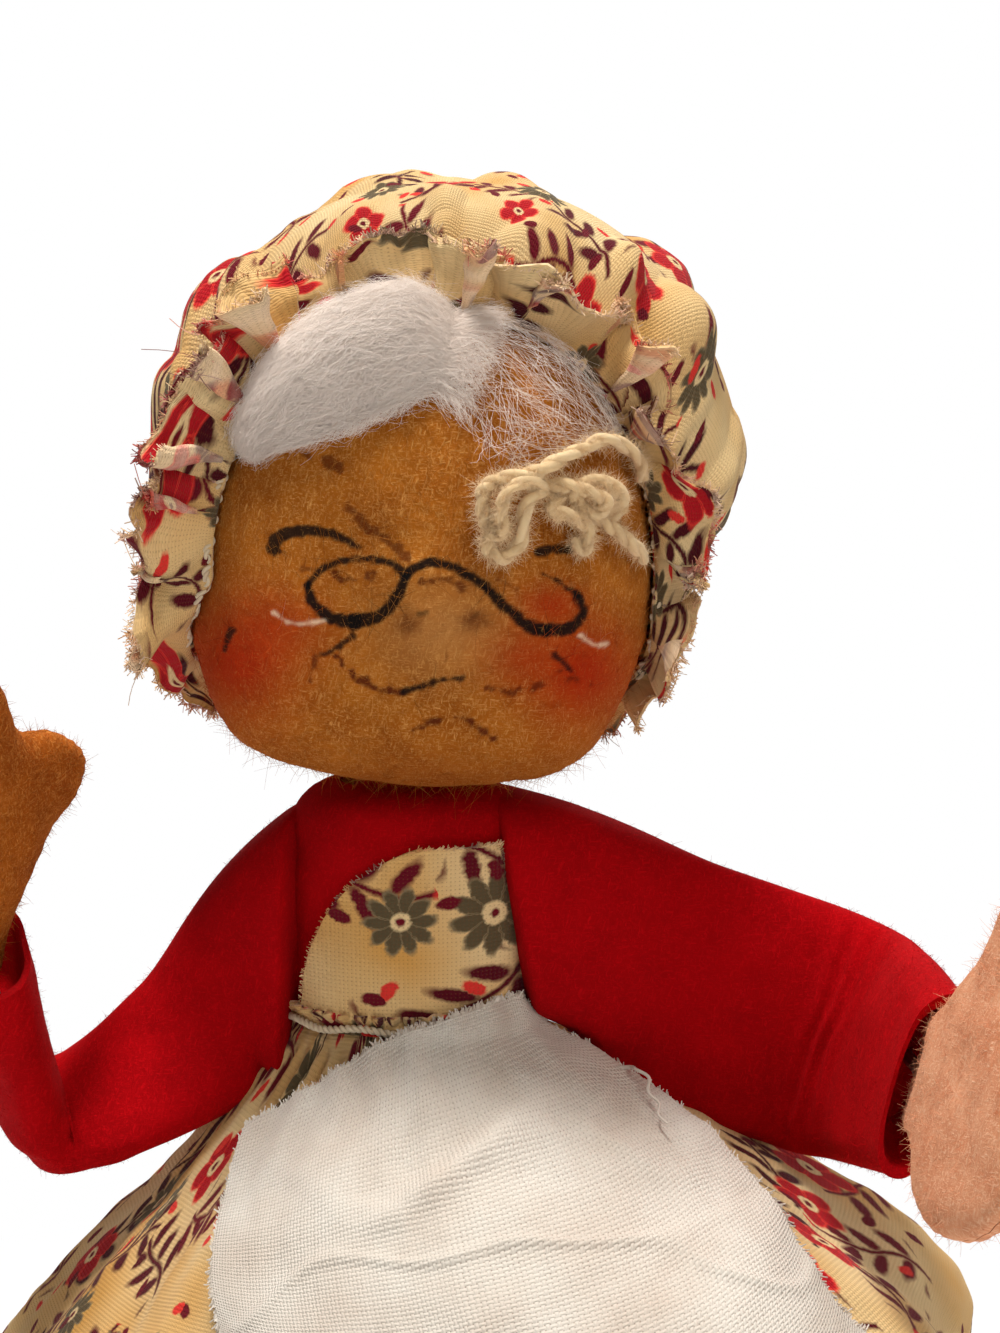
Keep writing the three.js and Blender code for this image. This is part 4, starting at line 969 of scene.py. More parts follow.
def make_apron():
    """A creased cloth with a slanted top, a tuck and frayed edges."""
    a, v = np.meshgrid(np.linspace(-1, 1, 220), np.linspace(0, 1, 190))
    a = a * (1 + 0.005 * noise(joined(a * 40, v * 50, 0), 1.0, 8))
    t = lerp(apron_top(a), 1, v)
    base = apron_point(a, t, 0 * a)
    gather = np.cos(26 * a + 2.2 * noise(base, 8, 9))
    fold = 0.22 * gather * np.exp(-v / 0.15)
    fold = fold + 0.6 * noise(base * [1, 1, 1.6], 7.5, 10) * smoothstep(v, 0, 0.15)
    crease = bump(noise(base * [0.5, 0.7, 1.6], 7.5, 11), 0.09) * smoothstep(v, 0.1, 0.3)
    tuck = bump(v - 0.26 + 0.16 * a, 0.028) * bump(a - 0.1, 0.3)
    hollow = bump(v - 0.2 + 0.16 * a, 0.045) * bump(a - 0.1, 0.34)
    lift = 1.3 + fold + 0.45 * crease + 1.3 * tuck - 0.8 * hollow + 0.1 * noise(base, 2.1, 12)
    lift = np.maximum(lift, 0.6) + 0.9 * smoothstep(0.05 - t, 0, 0.1)
    wide, tall = APRON_PRINT
    piece = Piece()
    flat = joined(a * wide * lerp(0.8, 1, v) + 3 * v, v * tall)
    piece.shell(apron_point(a, t, lift), apron_point(a, t, lift - APRON_CLOTH), flat)
    # Frayed edges and one loose thread
    grid = joined(a, t, lift)
    rims = np.concatenate([grid[:, 0], grid[:, -1], grid[0], grid[-1]])
    at = rims[random.integers(0, len(rims), APRON_FRINGE)]
    across, down, high = at.T
    root = apron_point(across, down, high - 0.15)
    centre = apron_point(across * 0.96, down + 0.03 * np.sign(0.4 - down), high - 0.15)
    run = unit(unit(root - centre) + random.normal(size=root.shape) * 0.3)
    steps = np.linspace(-0.4, 1, 5)[None, :, None] * random.uniform(0.2, 0.75, (APRON_FRINGE, 1, 1))
    bend = random.normal(size=(APRON_FRINGE, 1, 3)) * 0.25
    piece.tubes(root[:, None] + run[:, None] * steps + bend * steps**2, 0.07, flat=at * [wide, tall, 1])
    loose = apron_point(*spline(LOOSE_THREAD, 40).T)
    piece.tubes(loose[None], np.linspace(0.22, 0.12, 40), 6, flat=np.zeros((1, 3)))
    dress(piece, "apron", MUSLIN, "torso")


# Head


def head_radius(u):
    """Distance from the head's middle to its surface, in a direction."""
    half = joined(HEAD_HALF[0] * (1 - CHEEK_TAPER * u[..., 2]), *HEAD_HALF[1:])
    return np.sum(np.abs(u / half) ** HEAD_SQUARENESS, -1) ** (-1 / HEAD_SQUARENESS)


def head_direction(turn, forward):
    """A direction from the head's middle, by its turn round the face and its angle to the front."""
    c = np.cos(forward)
    return joined(c * np.cos(turn), -np.sin(forward), c * np.sin(turn))


def rolled(v, angle=HEAD_ROLL):
    """Vectors tipped sideways, as the head is."""
    c, s = math.cos(angle), math.sin(angle)
    x, y, z = np.moveaxis(v, -1, 0)
    return joined(x * c + z * s, y, z * c - x * s)


def over_head(u, lift):
    """The point a lift above the head, in a direction from its middle."""
    return rolled(u * (head_radius(u) + lift)[..., None] + HEAD_CENTRE) + [0, 0, NECK_Z]


def on_head(turn, forward, lift):
    return over_head(head_direction(turn, forward), lift)


def head_local(points):
    """Points as the head's own, unrolled and measured from its middle."""
    return rolled(points - [0, 0, NECK_Z], -HEAD_ROLL) - HEAD_CENTRE


def on_face(px, py, lift):
    """The point a lift above the head that the picture shows at a pixel, as a turn and a forward angle."""
    sight = PIXELS_PER_MM * VIEW_DISTANCE
    ray = unit(AHEAD + (px - IMAGE[0] / 2) / sight * ASIDE + (IMAGE[1] / 2 - py) / sight * UP)
    reach = VIEW_DISTANCE - 60.0
    for _ in range(60):
        v = head_local(EYE + reach * ray)
        reach += 0.6 * (np.linalg.norm(v) - head_radius(unit(v)) - lift)
    u = unit(v)
    return math.atan2(u[2], u[0]), math.asin(-u[1])


def gather_forward(turn):
    """How far forward the cap's gathered line lies, round the head."""
    under = smoothstep(-np.sin(turn), 0.2, 1)
    return lerp(FACE_FORWARD - CAP_SKEW * np.cos(turn), NAPE_FORWARD, under)


def half_ball(count, low):
    """Turns and forward angles over one half of the head, spread evenly from a square grid."""
    a, b = np.meshgrid(np.linspace(-1, 1, count), np.linspace(-1, 1, count))
    steep = np.abs(b) > np.abs(a)
    safe_a, safe_b = np.where(a == 0, 1e-9, a), np.where(b == 0, 1e-9, b)
    radius = np.where(steep, b, a)
    turn = np.where(steep, np.pi / 2 - np.pi / 4 * a / safe_b, np.pi / 4 * b / safe_a)
    turn = np.where(radius < 0, turn + np.pi, turn)
    return turn, np.pi / 2 - np.abs(radius) * (np.pi / 2 - low)


def dab(x, z, middle, size):
    """A smooth round hill, 1 at its middle."""
    return np.exp(-(((x - middle[0]) / size[0]) ** 2) - ((z - middle[1]) / size[1]) ** 2)


def paint_face(points):
    """Colour and cover of the painted features at points of the face, with painted shade and a painted
    highlight among them.
    """
    px, py = image_point(points)
    tone = np.zeros(points.shape[:-1] + (3,))
    cover = np.zeros(points.shape[:-1])
    rag = 2.2 * noise(points, 0.5, 13) + 1.4 * noise(points, 1.6, 14)

    def lay(shade, share):
        share = np.clip(share, 0, 1)
        total = share + cover * (1 - share)
        old = (cover * (1 - share) / np.maximum(total, 1e-6))[..., None]
        new = (share / np.maximum(total, 1e-6))[..., None]
        tone[:] = tone * old + np.array(colour(*shade)[:3]) * new
        cover[:] = total

    for shade, strength, middle, size in PATCHES:
        lay(shade, strength * dab(px + rag, py + rag, middle, size))
    for shade, strength, start, end, route in STROKES:
        near = np.full(px.shape, 1e9)
        widths = np.linspace(start, end, STROKE_STEPS)
        for (qx, qy), width in zip(spline(route, STROKE_STEPS), widths):
            near = np.minimum(near, np.hypot(px - qx, py - qy) - 0.5 * width)
        smudge = 2.2 if shade == BROWN_PAINT else 0.8
        lay(shade, strength * smoothstep(-near - smudge * rag, -STROKE_SOFT, STROKE_SOFT))
    return np.concatenate([tone, cover[..., None]], -1)


def jowl(u):
    """How far the low corners of the jaw stand out."""
    x, _, z = np.moveaxis(u * head_radius(u)[..., None], -1, 0)
    return JOWL * dab(np.abs(x), z, (13, -15.5), (6, 5.5)) * smoothstep(-u[..., 1], -0.45, 0.15)


def make_face():
    turn, ahead = half_ball(310, math.radians(-1))
    u = head_direction(turn, ahead)
    x, _, z = np.moveaxis(u * head_radius(u)[..., None], -1, 0)
    relief = sum(height * dab(x, z, middle, size) for height, middle, size in FACE_RELIEF)
    relief += CHIN_SAG * smoothstep(-u[..., 2], 0.3, 0.95)
    relief = relief * smoothstep(ahead, 0.05, 0.5) + jowl(u)
    smooth = over_head(u, relief)
    outer = over_head(u, relief + 0.07 * noise(smooth, 0.7, 15) + 0.12 * noise(smooth, 2.6, 16))
    paint = paint_face(outer)
    piece = Piece()
    piece.shell(outer, over_head(u, -FELT), paint=paint)
    shown = ahead > math.radians(12)
    normals = rolled(u)[shown]
    piece.fuzz(outer[shown], normals, FACE_FUZZ, 2.0, 0.86, 17, (0.022, 0.008), 6, paint=paint[shown])
    dress(piece, "face_felt", SKIN, "head")


def make_head_back():
    turn, ahead = half_ball(120, math.radians(1))
    u = head_direction(turn, -ahead)
    rough = 0.15 * noise(over_head(u, 0), 2.6, 16)
    piece = Piece()
    piece.shell(over_head(u, jowl(u) + rough), over_head(u, -FELT))
    dress(piece, "head_back_felt", BACK_SKIN, "head")


def make_head_stuffing():
    ahead = np.radians(np.linspace(-78, 78, 40))[:, None]
    make_stuffing("head_stuffing", on_head(full_turn(48), ahead, -FELT - HEAD_ROOM), "head")


def make_neck():
    z = np.linspace(NECK_LOW, NECK_TOP, 20)[:, None]
    r = lerp(NECK_WIDE, NECK_SLIM, smoothstep(z, NECK_LOW, NECK_BEND[1]))
    turn = full_turn(72)
    rings = joined(r * np.cos(turn), 0.9 * r * np.sin(turn), z)
    piece = Piece()
    piece.loft(rings + 0.12 * noise(rings, 1.5, 18)[..., None])
    neck = dress(piece, "neck_felt", RED)
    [in_row((0, 0, height)) for height in NECK_BEND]
    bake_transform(neck)


# Cap


def crown_point(turn, rise, lift):
    """A point of the cap's crown, at a rise from its gathered line to its pole."""
    rim = head_direction(turn, gather_forward(turn) - GATHER_APART)
    u = unit(lerp(rim, unit(CROWN_POLE), rise[..., None]))
    side, high = u[..., 0], u[..., 2]
    full = 0.52 + 0.36 * side * smoothstep(high, -0.3, 0.3) + 0.45 * np.maximum(high, 0)
    full = full + 0.16 * np.maximum(-side, 0) * smoothstep(high, 0, 0.35)
    low = lerp(0.2, 1, smoothstep(high, -0.4, 0.2))
    full = full * lerp(1, low, smoothstep(np.abs(side), 0.3, 0.7))
    puff = CAP_PUFF * full * (1 - (1 - rise) ** 3) * lerp(0.35, 1, smoothstep(rise, 0, 0.3))
    return over_head(u, CAP_LIFT + puff + lift)


def make_crown():
    """A puffed bag of cloth, gathered at its rim."""
    turn, rise = np.meshgrid(np.linspace(0, 2 * np.pi, 601), np.linspace(0, 1, 140) ** 1.15)
    phase = 1.6 * waves(turn, 2, 9, 6, 21)
    gather = 0.5 + 0.5 * np.cos(38 * turn + 2 * phase)
    fold = 0.5 + 0.5 * np.cos(15 * turn + phase + 0.8 * rise)
    kept = smoothstep(rise, 0, 0.05)
    lift = 1.2 * gather * np.exp(-rise / 0.09) * kept + 2.0 * fold * bump(rise - 0.24, 0.18) * kept
    base = crown_point(turn, rise, 0)
    # Broad facets between creases, where the cloth is pushed in
    facet = np.abs(noise(base, 12, 22)) + 0.5 * np.abs(noise(base, 7, 26))
    lift = lift + kept * (3.4 * facet - 2.2 + 0.5 * noise(base, 5, 23) + 0.12 * noise(base, 1.6, 24))
    outer = crown_point(turn, rise, np.maximum(lift, -2.5 * rise - 0.3 + 0.3 * kept))
    steps = np.linalg.norm(np.diff(base, axis=0), axis=-1).mean(1)
    reach = np.append(np.cumsum(steps[::-1])[::-1], 0)[:, None]
    flat = joined(reach * np.cos(turn), reach * np.sin(turn))
    inner = outer - CAP_CLOTH * unit(outer - over_head(CROWN_POLE, -HEAD_HALF[2]))
    piece = Piece()
    piece.shell(outer[:-1], inner[:-1], flat[:-1], closed=True)
    dress(piece, "cap_crown", CALICO, "head")


def ruffle_point(turn, w):
    """A point of the ruffle, w from its gathered line to its free edge."""
    ahead = gather_forward(turn) + GATHER_APART
    base = on_head(turn, ahead, CAP_LIFT)
    out = rolled(head_direction(turn, ahead))
    front = unit(on_head(turn, ahead + 1e-3, CAP_LIFT) - base)
    top = smoothstep(np.sin(turn), -0.1, 0.8)
    low = smoothstep(-np.sin(turn), 0.35, 1)
    phase = RUFFLE_WAVES * turn + 2.6 * waves(turn, 2, 8, 6, 31)
    width = RUFFLE_WIDTH * lerp(1, 0.86, low) * (0.88 + 0.24 * waves(turn, 3, 13, 5, 32))
    width = width * lerp(1.12, 0.7, smoothstep(np.cos(turn), 0.1, 0.95))
    width = width * lerp(0.72, 1, smoothstep(np.sin(turn), -0.5, 0.4))
    lean = np.radians(20) * waves(turn, 3, 11, 6, 33) * (1 - low) * w - lerp(1.0, 0.8, top) * ahead
    reach = width * (w - 0.16 * w * w)
    swing = (2.6 * np.sin(phase) + 1.6) * (1 - 0.5 * low) * w**0.6 + 0.9 * w * waves(turn, 11, 37, 6, 39)
    loop = -2.4 * w**0.8 * np.sin(2 * phase) + 1.2 * w * waves(turn, 5, 21, 5, 34)
    outward = reach * np.cos(lean) - swing * np.sin(lean)
    forward = reach * np.sin(lean) + swing * np.cos(lean)
    point = base + out * outward[..., None] + front * forward[..., None]
    point = point + np.cross(out, front) * loop[..., None]
    for size, depth, seed in ((4.5, 1.5, 35), (2.0, 0.6, 45)):
        point = point + depth * (0.1 + w)[..., None] * noise_vectors(point, size, seed)
    # Keeps the cloth off the head
    inside = head_local(point)
    deep = head_radius(unit(inside)) + 0.6 - np.linalg.norm(inside, axis=-1)
    return point + rolled(unit(inside)) * np.maximum(deep, 0)[..., None]


def ruffle_flat(turn, w):
    return joined(turn / (2 * np.pi) * RUFFLE_PRINT_LONG, 1.5 * w * RUFFLE_WIDTH) + RUFFLE_PRINT


def make_ruffle():
    ends = -0.5 * np.pi, 1.5 * np.pi
    turn, w = np.meshgrid(np.linspace(*ends, 1401), np.linspace(0, 1, 26))
    where = joined(np.cos(turn), np.sin(turn), 0) * 20
    outer = ruffle_point(turn, w * (1 + 0.09 * noise(where, 0.35, 38) * smoothstep(w, 0.6, 1)))
    outer[:, -1] = outer[:, 0]
    piece = Piece()
    piece.band(outer, RUFFLE_CLOTH, ruffle_flat(turn, w))
    # Frayed edge, with a few long loose threads
    count = RUFFLE_FRINGE
    at = random.uniform(*ends, count)
    root = ruffle_point(at, np.full(count, 0.96))
    run = unit(root - ruffle_point(at, np.full(count, 0.8)))
    run = unit(run + 0.6 * random.normal(size=run.shape))
    loose = random.random(count) < 0.004
    reach = np.where(loose, random.uniform(1.5, 3.5, count), random.uniform(0.2, 0.75, count))
    steps = np.linspace(-0.1, 1, 6)[None, :, None]
    bend = random.normal(size=(count, 1, 3)) * 0.45
    paths = root[:, None] + reach[:, None, None] * (run[:, None] * steps + bend * steps**2)
    spots = np.column_stack([ruffle_flat(at, 1), random.uniform(0.4, 1.8, count)])
    piece.tubes(paths, random.uniform(0.03, 0.075, (count, 1)), flat=spots)
    dress(piece, "cap_ruffle", CALICO, "head")


def make_cap_thread():
    turn = np.linspace(0, 2 * np.pi, 1201)
    ring = on_head(turn, gather_forward(turn), 1.05 + 0.25 * np.cos(60 * turn))
    make_thread("cap_gathering_thread", ring, 0.18, 90, 0.2, "head")


# Hair


HAIR_TURNS, HAIR_ENDS = np.array([on_face(px, py, 0.5) for px, py in HAIR_EDGE]).T
PART = (on_face(*HAIR_PART, 0.5)[0] - HAIR_TURNS[0]) / (HAIR_TURNS[-1] - HAIR_TURNS[0])


def hair_point(a, t, lift):
    """On the hair, a across it from the doll's right, and t from under the cap to its lower edge."""
    turn = lerp(HAIR_TURNS[0], HAIR_TURNS[-1], a)
    end = np.interp(-turn, -HAIR_TURNS, HAIR_ENDS)
    return on_head(turn, lerp(gather_forward(turn) + GATHER_APART, end, t), lift)


def hair_full(a, t):
    """How thick the wool is: a full lobe, a parting and a thin lobe."""
    side = np.where(a < PART, a / PART, (1 - a) / (1 - PART))
    lobe = HAIR_THICK * np.where(a < PART, 1, HAIR_THIN_SHARE) * np.clip(side * (2 - side), 0, 1) ** 0.5
    parting = 1 - 0.55 * bump(a - PART, 0.05)
    t = np.clip(t, 0, 1)
    along = np.sqrt(np.clip(1 - np.abs(2 * t - 0.8) ** 2.2 / 1.25, 0, 1)) * (1 - t**6)
    return 0.15 + lobe * parting * along


def make_hair():
    # A lumpy cushion under the full lobe, and loose wool over it
    a, t = np.meshgrid(np.linspace(0.04, PART + 0.04, 150), np.linspace(0, 0.74, 80))
    full = hair_full(a, t)
    place = hair_point(a, t, full)
    thin = smoothstep(a, 0.02, 0.14) * smoothstep(PART + 0.05 - a, 0, 0.1) * smoothstep(0.76 - t, 0, 0.3)
    lumps = thin * (0.8 + 0.16 * noise(place, 3.4, 41) + 0.1 * noise(place, 1.2, 43))
    piece = Piece()
    piece.shell(hair_point(a, t, 0.25 + full * lumps), hair_point(a, t, 0.1), joined(a * 20, t * 4))
    count, steps = HAIR_STRANDS, 6
    thick = random.random(count) < 0.965
    across = np.where(thick, random.uniform(0, PART + 0.03, count), random.uniform(PART, 1, count))
    start = joined(across, random.uniform(0, 1, count) ** 1.15)
    way = np.where(start[:, :1] < PART, -1, 1) * np.where(random.random((count, 1)) < 0.35, -1, 1)
    run = np.linspace(0, 1, steps)[None, :]
    reach = random.uniform(0.02, 0.19, (count, 1))
    a = np.clip(start[:, :1] + way * reach * run, 0, np.where(thick, PART + 0.12, 1)[:, None])
    t = np.clip(start[:, 1:] + random.normal(0.02, 0.15, (count, 1)) * run, -0.05, 1.1)
    lift = 0.2 + hair_full(a, t) * random.uniform(0.75, 1.1, (count, 1))
    lift = lift + random.uniform(0, 0.6, (count, 1)) * run**2
    curl = random.normal(size=(count, 1, 3)) * 0.55 * run[..., None] ** 1.5
    curl = curl + random.normal(size=(count, 1, 3)) * 0.28 * np.sin(6 * run)[..., None]
    paths = hair_point(a, t, np.maximum(lift, 0.2)) + curl
    spots = np.column_stack([random.uniform(0, 90, (count, 2)), start[:, 0]])
    piece.tubes(paths, np.linspace(0.02, 0.009, steps), flat=spots)
    dress(piece, "hair_tuft", WOOL, "head")


def make_yarn():
    """Strands of twisted yarn, looped over one another on the brow."""
    piece = Piece()
    for stops in YARN_STRANDS:
        route = np.array([on_head(*on_face(px, py, lift), lift) for px, py, lift in stops])
        path = spline(route, 60 * len(stops))
        turns = np.sum(np.linalg.norm(np.diff(path, axis=0), axis=1)) / YARN_PITCH
        strands = ply(path + 0.16 * noise_vectors(path, 1.6, 47), 0.6 * YARN_PLY, turns)
        girth = YARN_PLY * (1.15 + 0.3 * noise(path, 1.3, 44))
        piece.tubes(strands, girth[None], 9, flat=YARN_SPOTS)
        ring = path + 1.4 * YARN_PLY * unit(random.normal(size=path.shape))
        piece.fuzz(ring, unit(ring - path), 420 * len(stops), 1.1, 0.85, 42, (0.02, 0.008))
    dress(piece, "yarn_tuft", YARN, "head", weld=False)


# Arms


def turn_about(axis, degrees):
    c, s = math.cos(math.radians(degrees)), math.sin(math.radians(degrees))
    i, j = {"x": (1, 2), "y": (2, 0), "z": (0, 1)}[axis]
    m = np.eye(3)
    m[i, i] = m[j, j] = c
    m[i, j], m[j, i] = -s, s
    return m


def arm_frames(side, droop, twist, elbow, turn, wrist):
    """Place and axes of the shoulder, elbow and wrist."""
    mirror = np.diag([side, 1, 1])
    shoulder = turn_about("y", droop)
    at_shoulder = np.array([SHOULDER_X, 0, SHOULDER_Z])
    lower = shoulder @ turn_about("x", -twist) @ turn_about("z", -elbow)
    at_elbow = at_shoulder + shoulder[:, 0] * UPPER_ARM
    hand = lower @ turn_about("x", turn) @ turn_about("y", -wrist)
    at_wrist = at_elbow + lower[:, 0] * WRIST_X
    places = (at_shoulder, shoulder), (at_elbow, lower), (at_wrist, hand)
    return [(mirror @ point, mirror @ axes) for point, axes in places]


def outline(half_deep, half_tall, count, squareness):
    """Points round a squarish oval."""
    a = full_turn(count)
    across, up = (np.sign(part) * np.abs(part) ** (2 / squareness) for part in (np.cos(a), np.sin(a)))
    return joined(half_deep * across, half_tall * up)


def sleeve_spine(pose):
    """Stations from the body to the cuff: distance, middle, and the sleeve's depth and height axes."""
    (p0, m0), (p1, m1), _ = arm_frames(**pose)
    s = np.linspace(-SEAM_RUN, UPPER_ARM + FOREARM, 170)
    angle = -np.radians(pose["twist"]) * smoothstep(s / UPPER_ARM, 0.1, 1)
    tall = np.outer(np.cos(angle), m0[:, 2]) - np.outer(np.sin(angle), m0[:, 1])
    past = (s > UPPER_ARM)[:, None]
    middle = np.where(past, p1 + np.outer(s - UPPER_ARM, m1[:, 0]), p0 + np.outer(s, m0[:, 0]))
    t = np.clip((s - UPPER_ARM + ELBOW_ROUND) / (2 * ELBOW_ROUND), 0, 1)[:, None]
    before, after = p1 - m0[:, 0] * ELBOW_ROUND, p1 + m1[:, 0] * ELBOW_ROUND
    arc = before * (1 - t) ** 2 + 2 * p1 * t * (1 - t) + after * t**2
    middle = np.where((t > 0) & (t < 1), arc, middle)
    deep = pose["side"] * np.cross(tall, unit(np.gradient(middle, axis=0)))
    return s, middle, unit(deep), tall


def sleeve_rings(name, pose):
    """Distances along the arm, the sleeve's rings of points there, and their directions from its middle."""
    s, middle, deep, tall = sleeve_spine(pose)
    side, low = pose["side"], SEAM_LOW[name]
    above, below = (
        smoothed(np.interp(s, SLEEVE_PLACES, sizes[name]), 15) for sizes in (SLEEVE_ABOVE, SLEEVE_BELOW)
    )
    middle = middle + tall * ((above - below) / 2)[:, None]
    bend = bump(s - UPPER_ARM, 6)
    half_deep = SLEEVE_HALF_DEPTH * (1 + 0.1 * bend)
    cuff = smoothstep(s, UPPER_ARM + CUFF_START, UPPER_ARM + FOREARM)
    half_deep = half_deep * lerp(1, CUFF_DEPTH[name], cuff)
    sections = outline(half_deep[:, None], ((above + below) / 2)[:, None], SLEEVE_SIDES, 2.3)
    rings = middle[:, None] + sections[..., :1] * deep[:, None] + sections[..., 1:] * tall[:, None]
    # Towards the body the sleeve widens to a straight seam on the side of the bodice
    y, z = outline(SEAM_HALF_DEPTH, (SEAM_TOP - low) / 2, SLEEVE_SIDES, 3.2).T
    seam = joined(side * SEAM_X, y, z + (SEAM_TOP + low) / 2)
    slope = SEAM_SLOPE[name]
    slide = (s + SEAM_RUN)[:, None, None] * np.array([side * math.cos(slope), 0, -math.sin(slope)])
    rings = lerp(rings, seam[None] + slide, smoothstep(-s, -13, SEAM_RUN - 2)[:, None, None])
    # The sleeve is flat inside the bodice and full outside it, so that the seam shows
    line = np.interp(rings[..., 2], (low, SEAM_TOP), SEAM_LINE[name])
    rings[..., 1] *= lerp(0.4, 1, smoothstep(side * rings[..., 0] - line, -1.2, 0.9))
    around = unit(rings - rings.mean(1, keepdims=True))
    rumple = 0.5 * noise(rings, 8, 51) + 0.14 * noise(rings, 2.8, 52) + 0.03 * noise(rings, 0.9, 53)
    wrinkle = 0.3 * bend[:, None] * np.cos(1.2 * (s[:, None] - UPPER_ARM) + 2 * noise(rings, 6, 54))
    facing = np.sum(around * deep[:, None], -1)
    push = np.sign(facing) * (rumple + wrinkle) * smoothstep(np.abs(facing), 0, 0.35)
    return s, rings + push[..., None] * deep[:, None], around


def make_sleeves(name, pose):
    """Two lengths of sleeve, which meet above the elbow."""
    s, rings, around = sleeve_rings(name, pose)
    (p0, m0), (p1, m1), _ = arm_frames(**pose)
    along, onward = m0[:, 0], m1[:, 0]
    # Points out from the elbow, the way the folded forearm leaves the upper arm's wall
    fold = unit(onward - np.dot(onward, along) * along)
    cut = int(np.searchsorted(s, UPPER_ARM - ELBOW_CUT))
    # The cuff turns in, so that the sleeve looks hollow
    lining = [lerp(rings[-1 - k], rings[-1 - k].mean(0), 0.12 + 0.02 * k) for k in range(0, 24, 4)]
    upper, lower = rings[: cut + 1], np.concatenate([rings[cut:], np.array(lining)])
    bodies = "torso", f"{name}_upper_arm", f"{name}_forearm"
    shoulder = [p0 + along * reach for reach in (-SHOULDER_BEND, SHOULDER_BEND)]
    elbow = [p1 + fold * reach for reach in ELBOW_BEND]
    for part, body, furry, joint, bend in (
        ("upper", upper, slice(1, cut - 6), bodies[:2], shoulder),
        ("lower", lower, slice(cut + 1, None), bodies[1:], elbow),
    ):
        piece = Piece()
        piece.loft(body)
        piece.fuzz(rings[furry], around[furry], 3000, 0.55, 0.7, 55, (0.02, 0.007))
        made = dress(piece, f"{name}_{part}_sleeve", RED)
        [in_row(point) for point in bend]
        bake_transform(made)


def mitten():
    """Outline of a hand with its thumb, from the wrist."""
    l, w, t = HAND_LENGTH, HAND_HALF_WIDTH, THUMB
    points = [
        (-5.0, 0.3 * w), (-5.0, -0.3 * w), (0.06 * l, -0.55 * w), (0.2 * l, -0.85 * w), (0.42 * l, -w),
        (0.72 * l, -0.9 * w), (0.93 * l, -0.5 * w), (l, 0.05 * w), (0.92 * l, 0.5 * w), (0.7 * l, 0.72 * w),
        (0.62 * l, 0.95 * w + 0.45 * t), (0.5 * l, 0.95 * w + 0.95 * t), (0.38 * l, 0.95 * w + 0.7 * t),
        (0.28 * l, 0.95 * w), (0.06 * l, 0.55 * w),
    ]
    return spline(points, 240, closed=True)


def make_hand(name, pose):
    """Two stuffed felt halves, sewn round the edge with small overcast stitches."""
    _, _, (place, axes) = arm_frames(**pose)
    heart = np.array([0.47 * HAND_LENGTH, 0.12 * HAND_HALF_WIDTH])
    rise = np.array([0, HAND_RISE[name]])
    edge = heart + (mitten() - heart) * [1, HAND_FULL[name]] + rise
    heart = heart + rise
    edge[:, 0] = np.maximum(edge[:, 0], -HAND_TAIL)
    edge[:, 1] *= lerp(WRIST_WIDE[name], 1, smoothstep(edge[:, 0], -HAND_TAIL, 7))
    edge = np.vstack([edge, edge[:1]])
    r = np.linspace(0, 1, 46)[:, None]
    stitches = 0.5 + 0.5 * np.cos(2 * np.pi * np.arange(len(edge)) / STITCH)
    dent = 0.16 * stitches * smoothstep(r, 0.8, 1)
    flat = heart + r[..., None] * (edge - heart) - unit(edge - heart) * dent[..., None]
    x, z = np.moveaxis(flat, -1, 0)
    tall = 0.15 + (HAND_FELT - 0.1) * np.sqrt(1 - (r * 0.995) ** 5)
    tall = tall * lerp(WRIST_THICK, 1, smoothstep(x, -HAND_TAIL, 5))
    crowd = np.broadcast_to(r, tall.shape).reshape(-1)

    def world(points):
        return place + points @ axes.T

    for half, way in (("palm_felt", -1), ("hand_back_felt", 1)):
        outer = joined(x, way * tall, z)
        rough = 0.3 * noise(outer, 4, 61) + 0.06 * noise(outer, 1.0, 62)
        outer[..., 1] += way * rough * smoothstep(1 - r, 0, 0.2)
        piece = Piece()
        piece.shell(world(outer), world(joined(x, way * 0.05, z)), outer, closed=True)
        normals = unit(joined(x - heart[0], way * 9 * (1.05 - r), z - heart[1]))
        piece.fuzz(outer, normals, 2600, 0.9, 0.6, 63, (0.024, 0.008), weights=crowd, place=world)
        # The doll's left hand takes the lighter copy, painted light, and its right hand the darker one,
        # painted shade
        skin = LIT_HAND_FELT if name == "left" else SHADED_HAND_FELT
        dress(piece, f"{name}_{half}", skin, f"{name}_hand")


# Legs


def limb(x, top, bottom, radius):
    """Rings of a stuffed length of leg."""
    z = np.linspace(top, bottom, 60)[:, None]
    t = (z - top) / (bottom - top)
    r = radius * lerp(0.6, 1, (1 - np.abs(2 * t - 1) ** 5) ** 0.5)
    turn = full_turn(72)
    rings = joined(x + r * np.cos(turn), r * np.sin(turn), z)
    rough = 0.3 * noise(rings, 4, 71) + 0.05 * noise(rings, 1, 72)
    return rings + joined(np.cos(turn), np.sin(turn), 0) * rough[..., None]


def shoe_upper(x):
    """Rings of a stuffed shoe, from its toe to its heel."""
    t = np.linspace(-1, 1, 60)[:, None]
    y = np.linspace(HEEL - SHOE_LENGTH, HEEL, 60)[:, None] * 0.97
    rounding = np.sqrt(np.maximum(0.04, 1 - np.abs(t) ** 3))
    tall = SHOE_HEIGHT * rounding * lerp(0.72, 1, smoothstep(t, -0.4, 0.5)) / 2
    section = outline(0.5 * SHOE_WIDTH * 0.95 * rounding, tall, 72, 2.6)
    rings = joined(x + section[..., 0], y, SOLE + 0.25 + tall + section[..., 1])
    return rings + 0.2 * unit(rings - [x, -7, 5]) * noise(rings, 3, 73)[..., None]


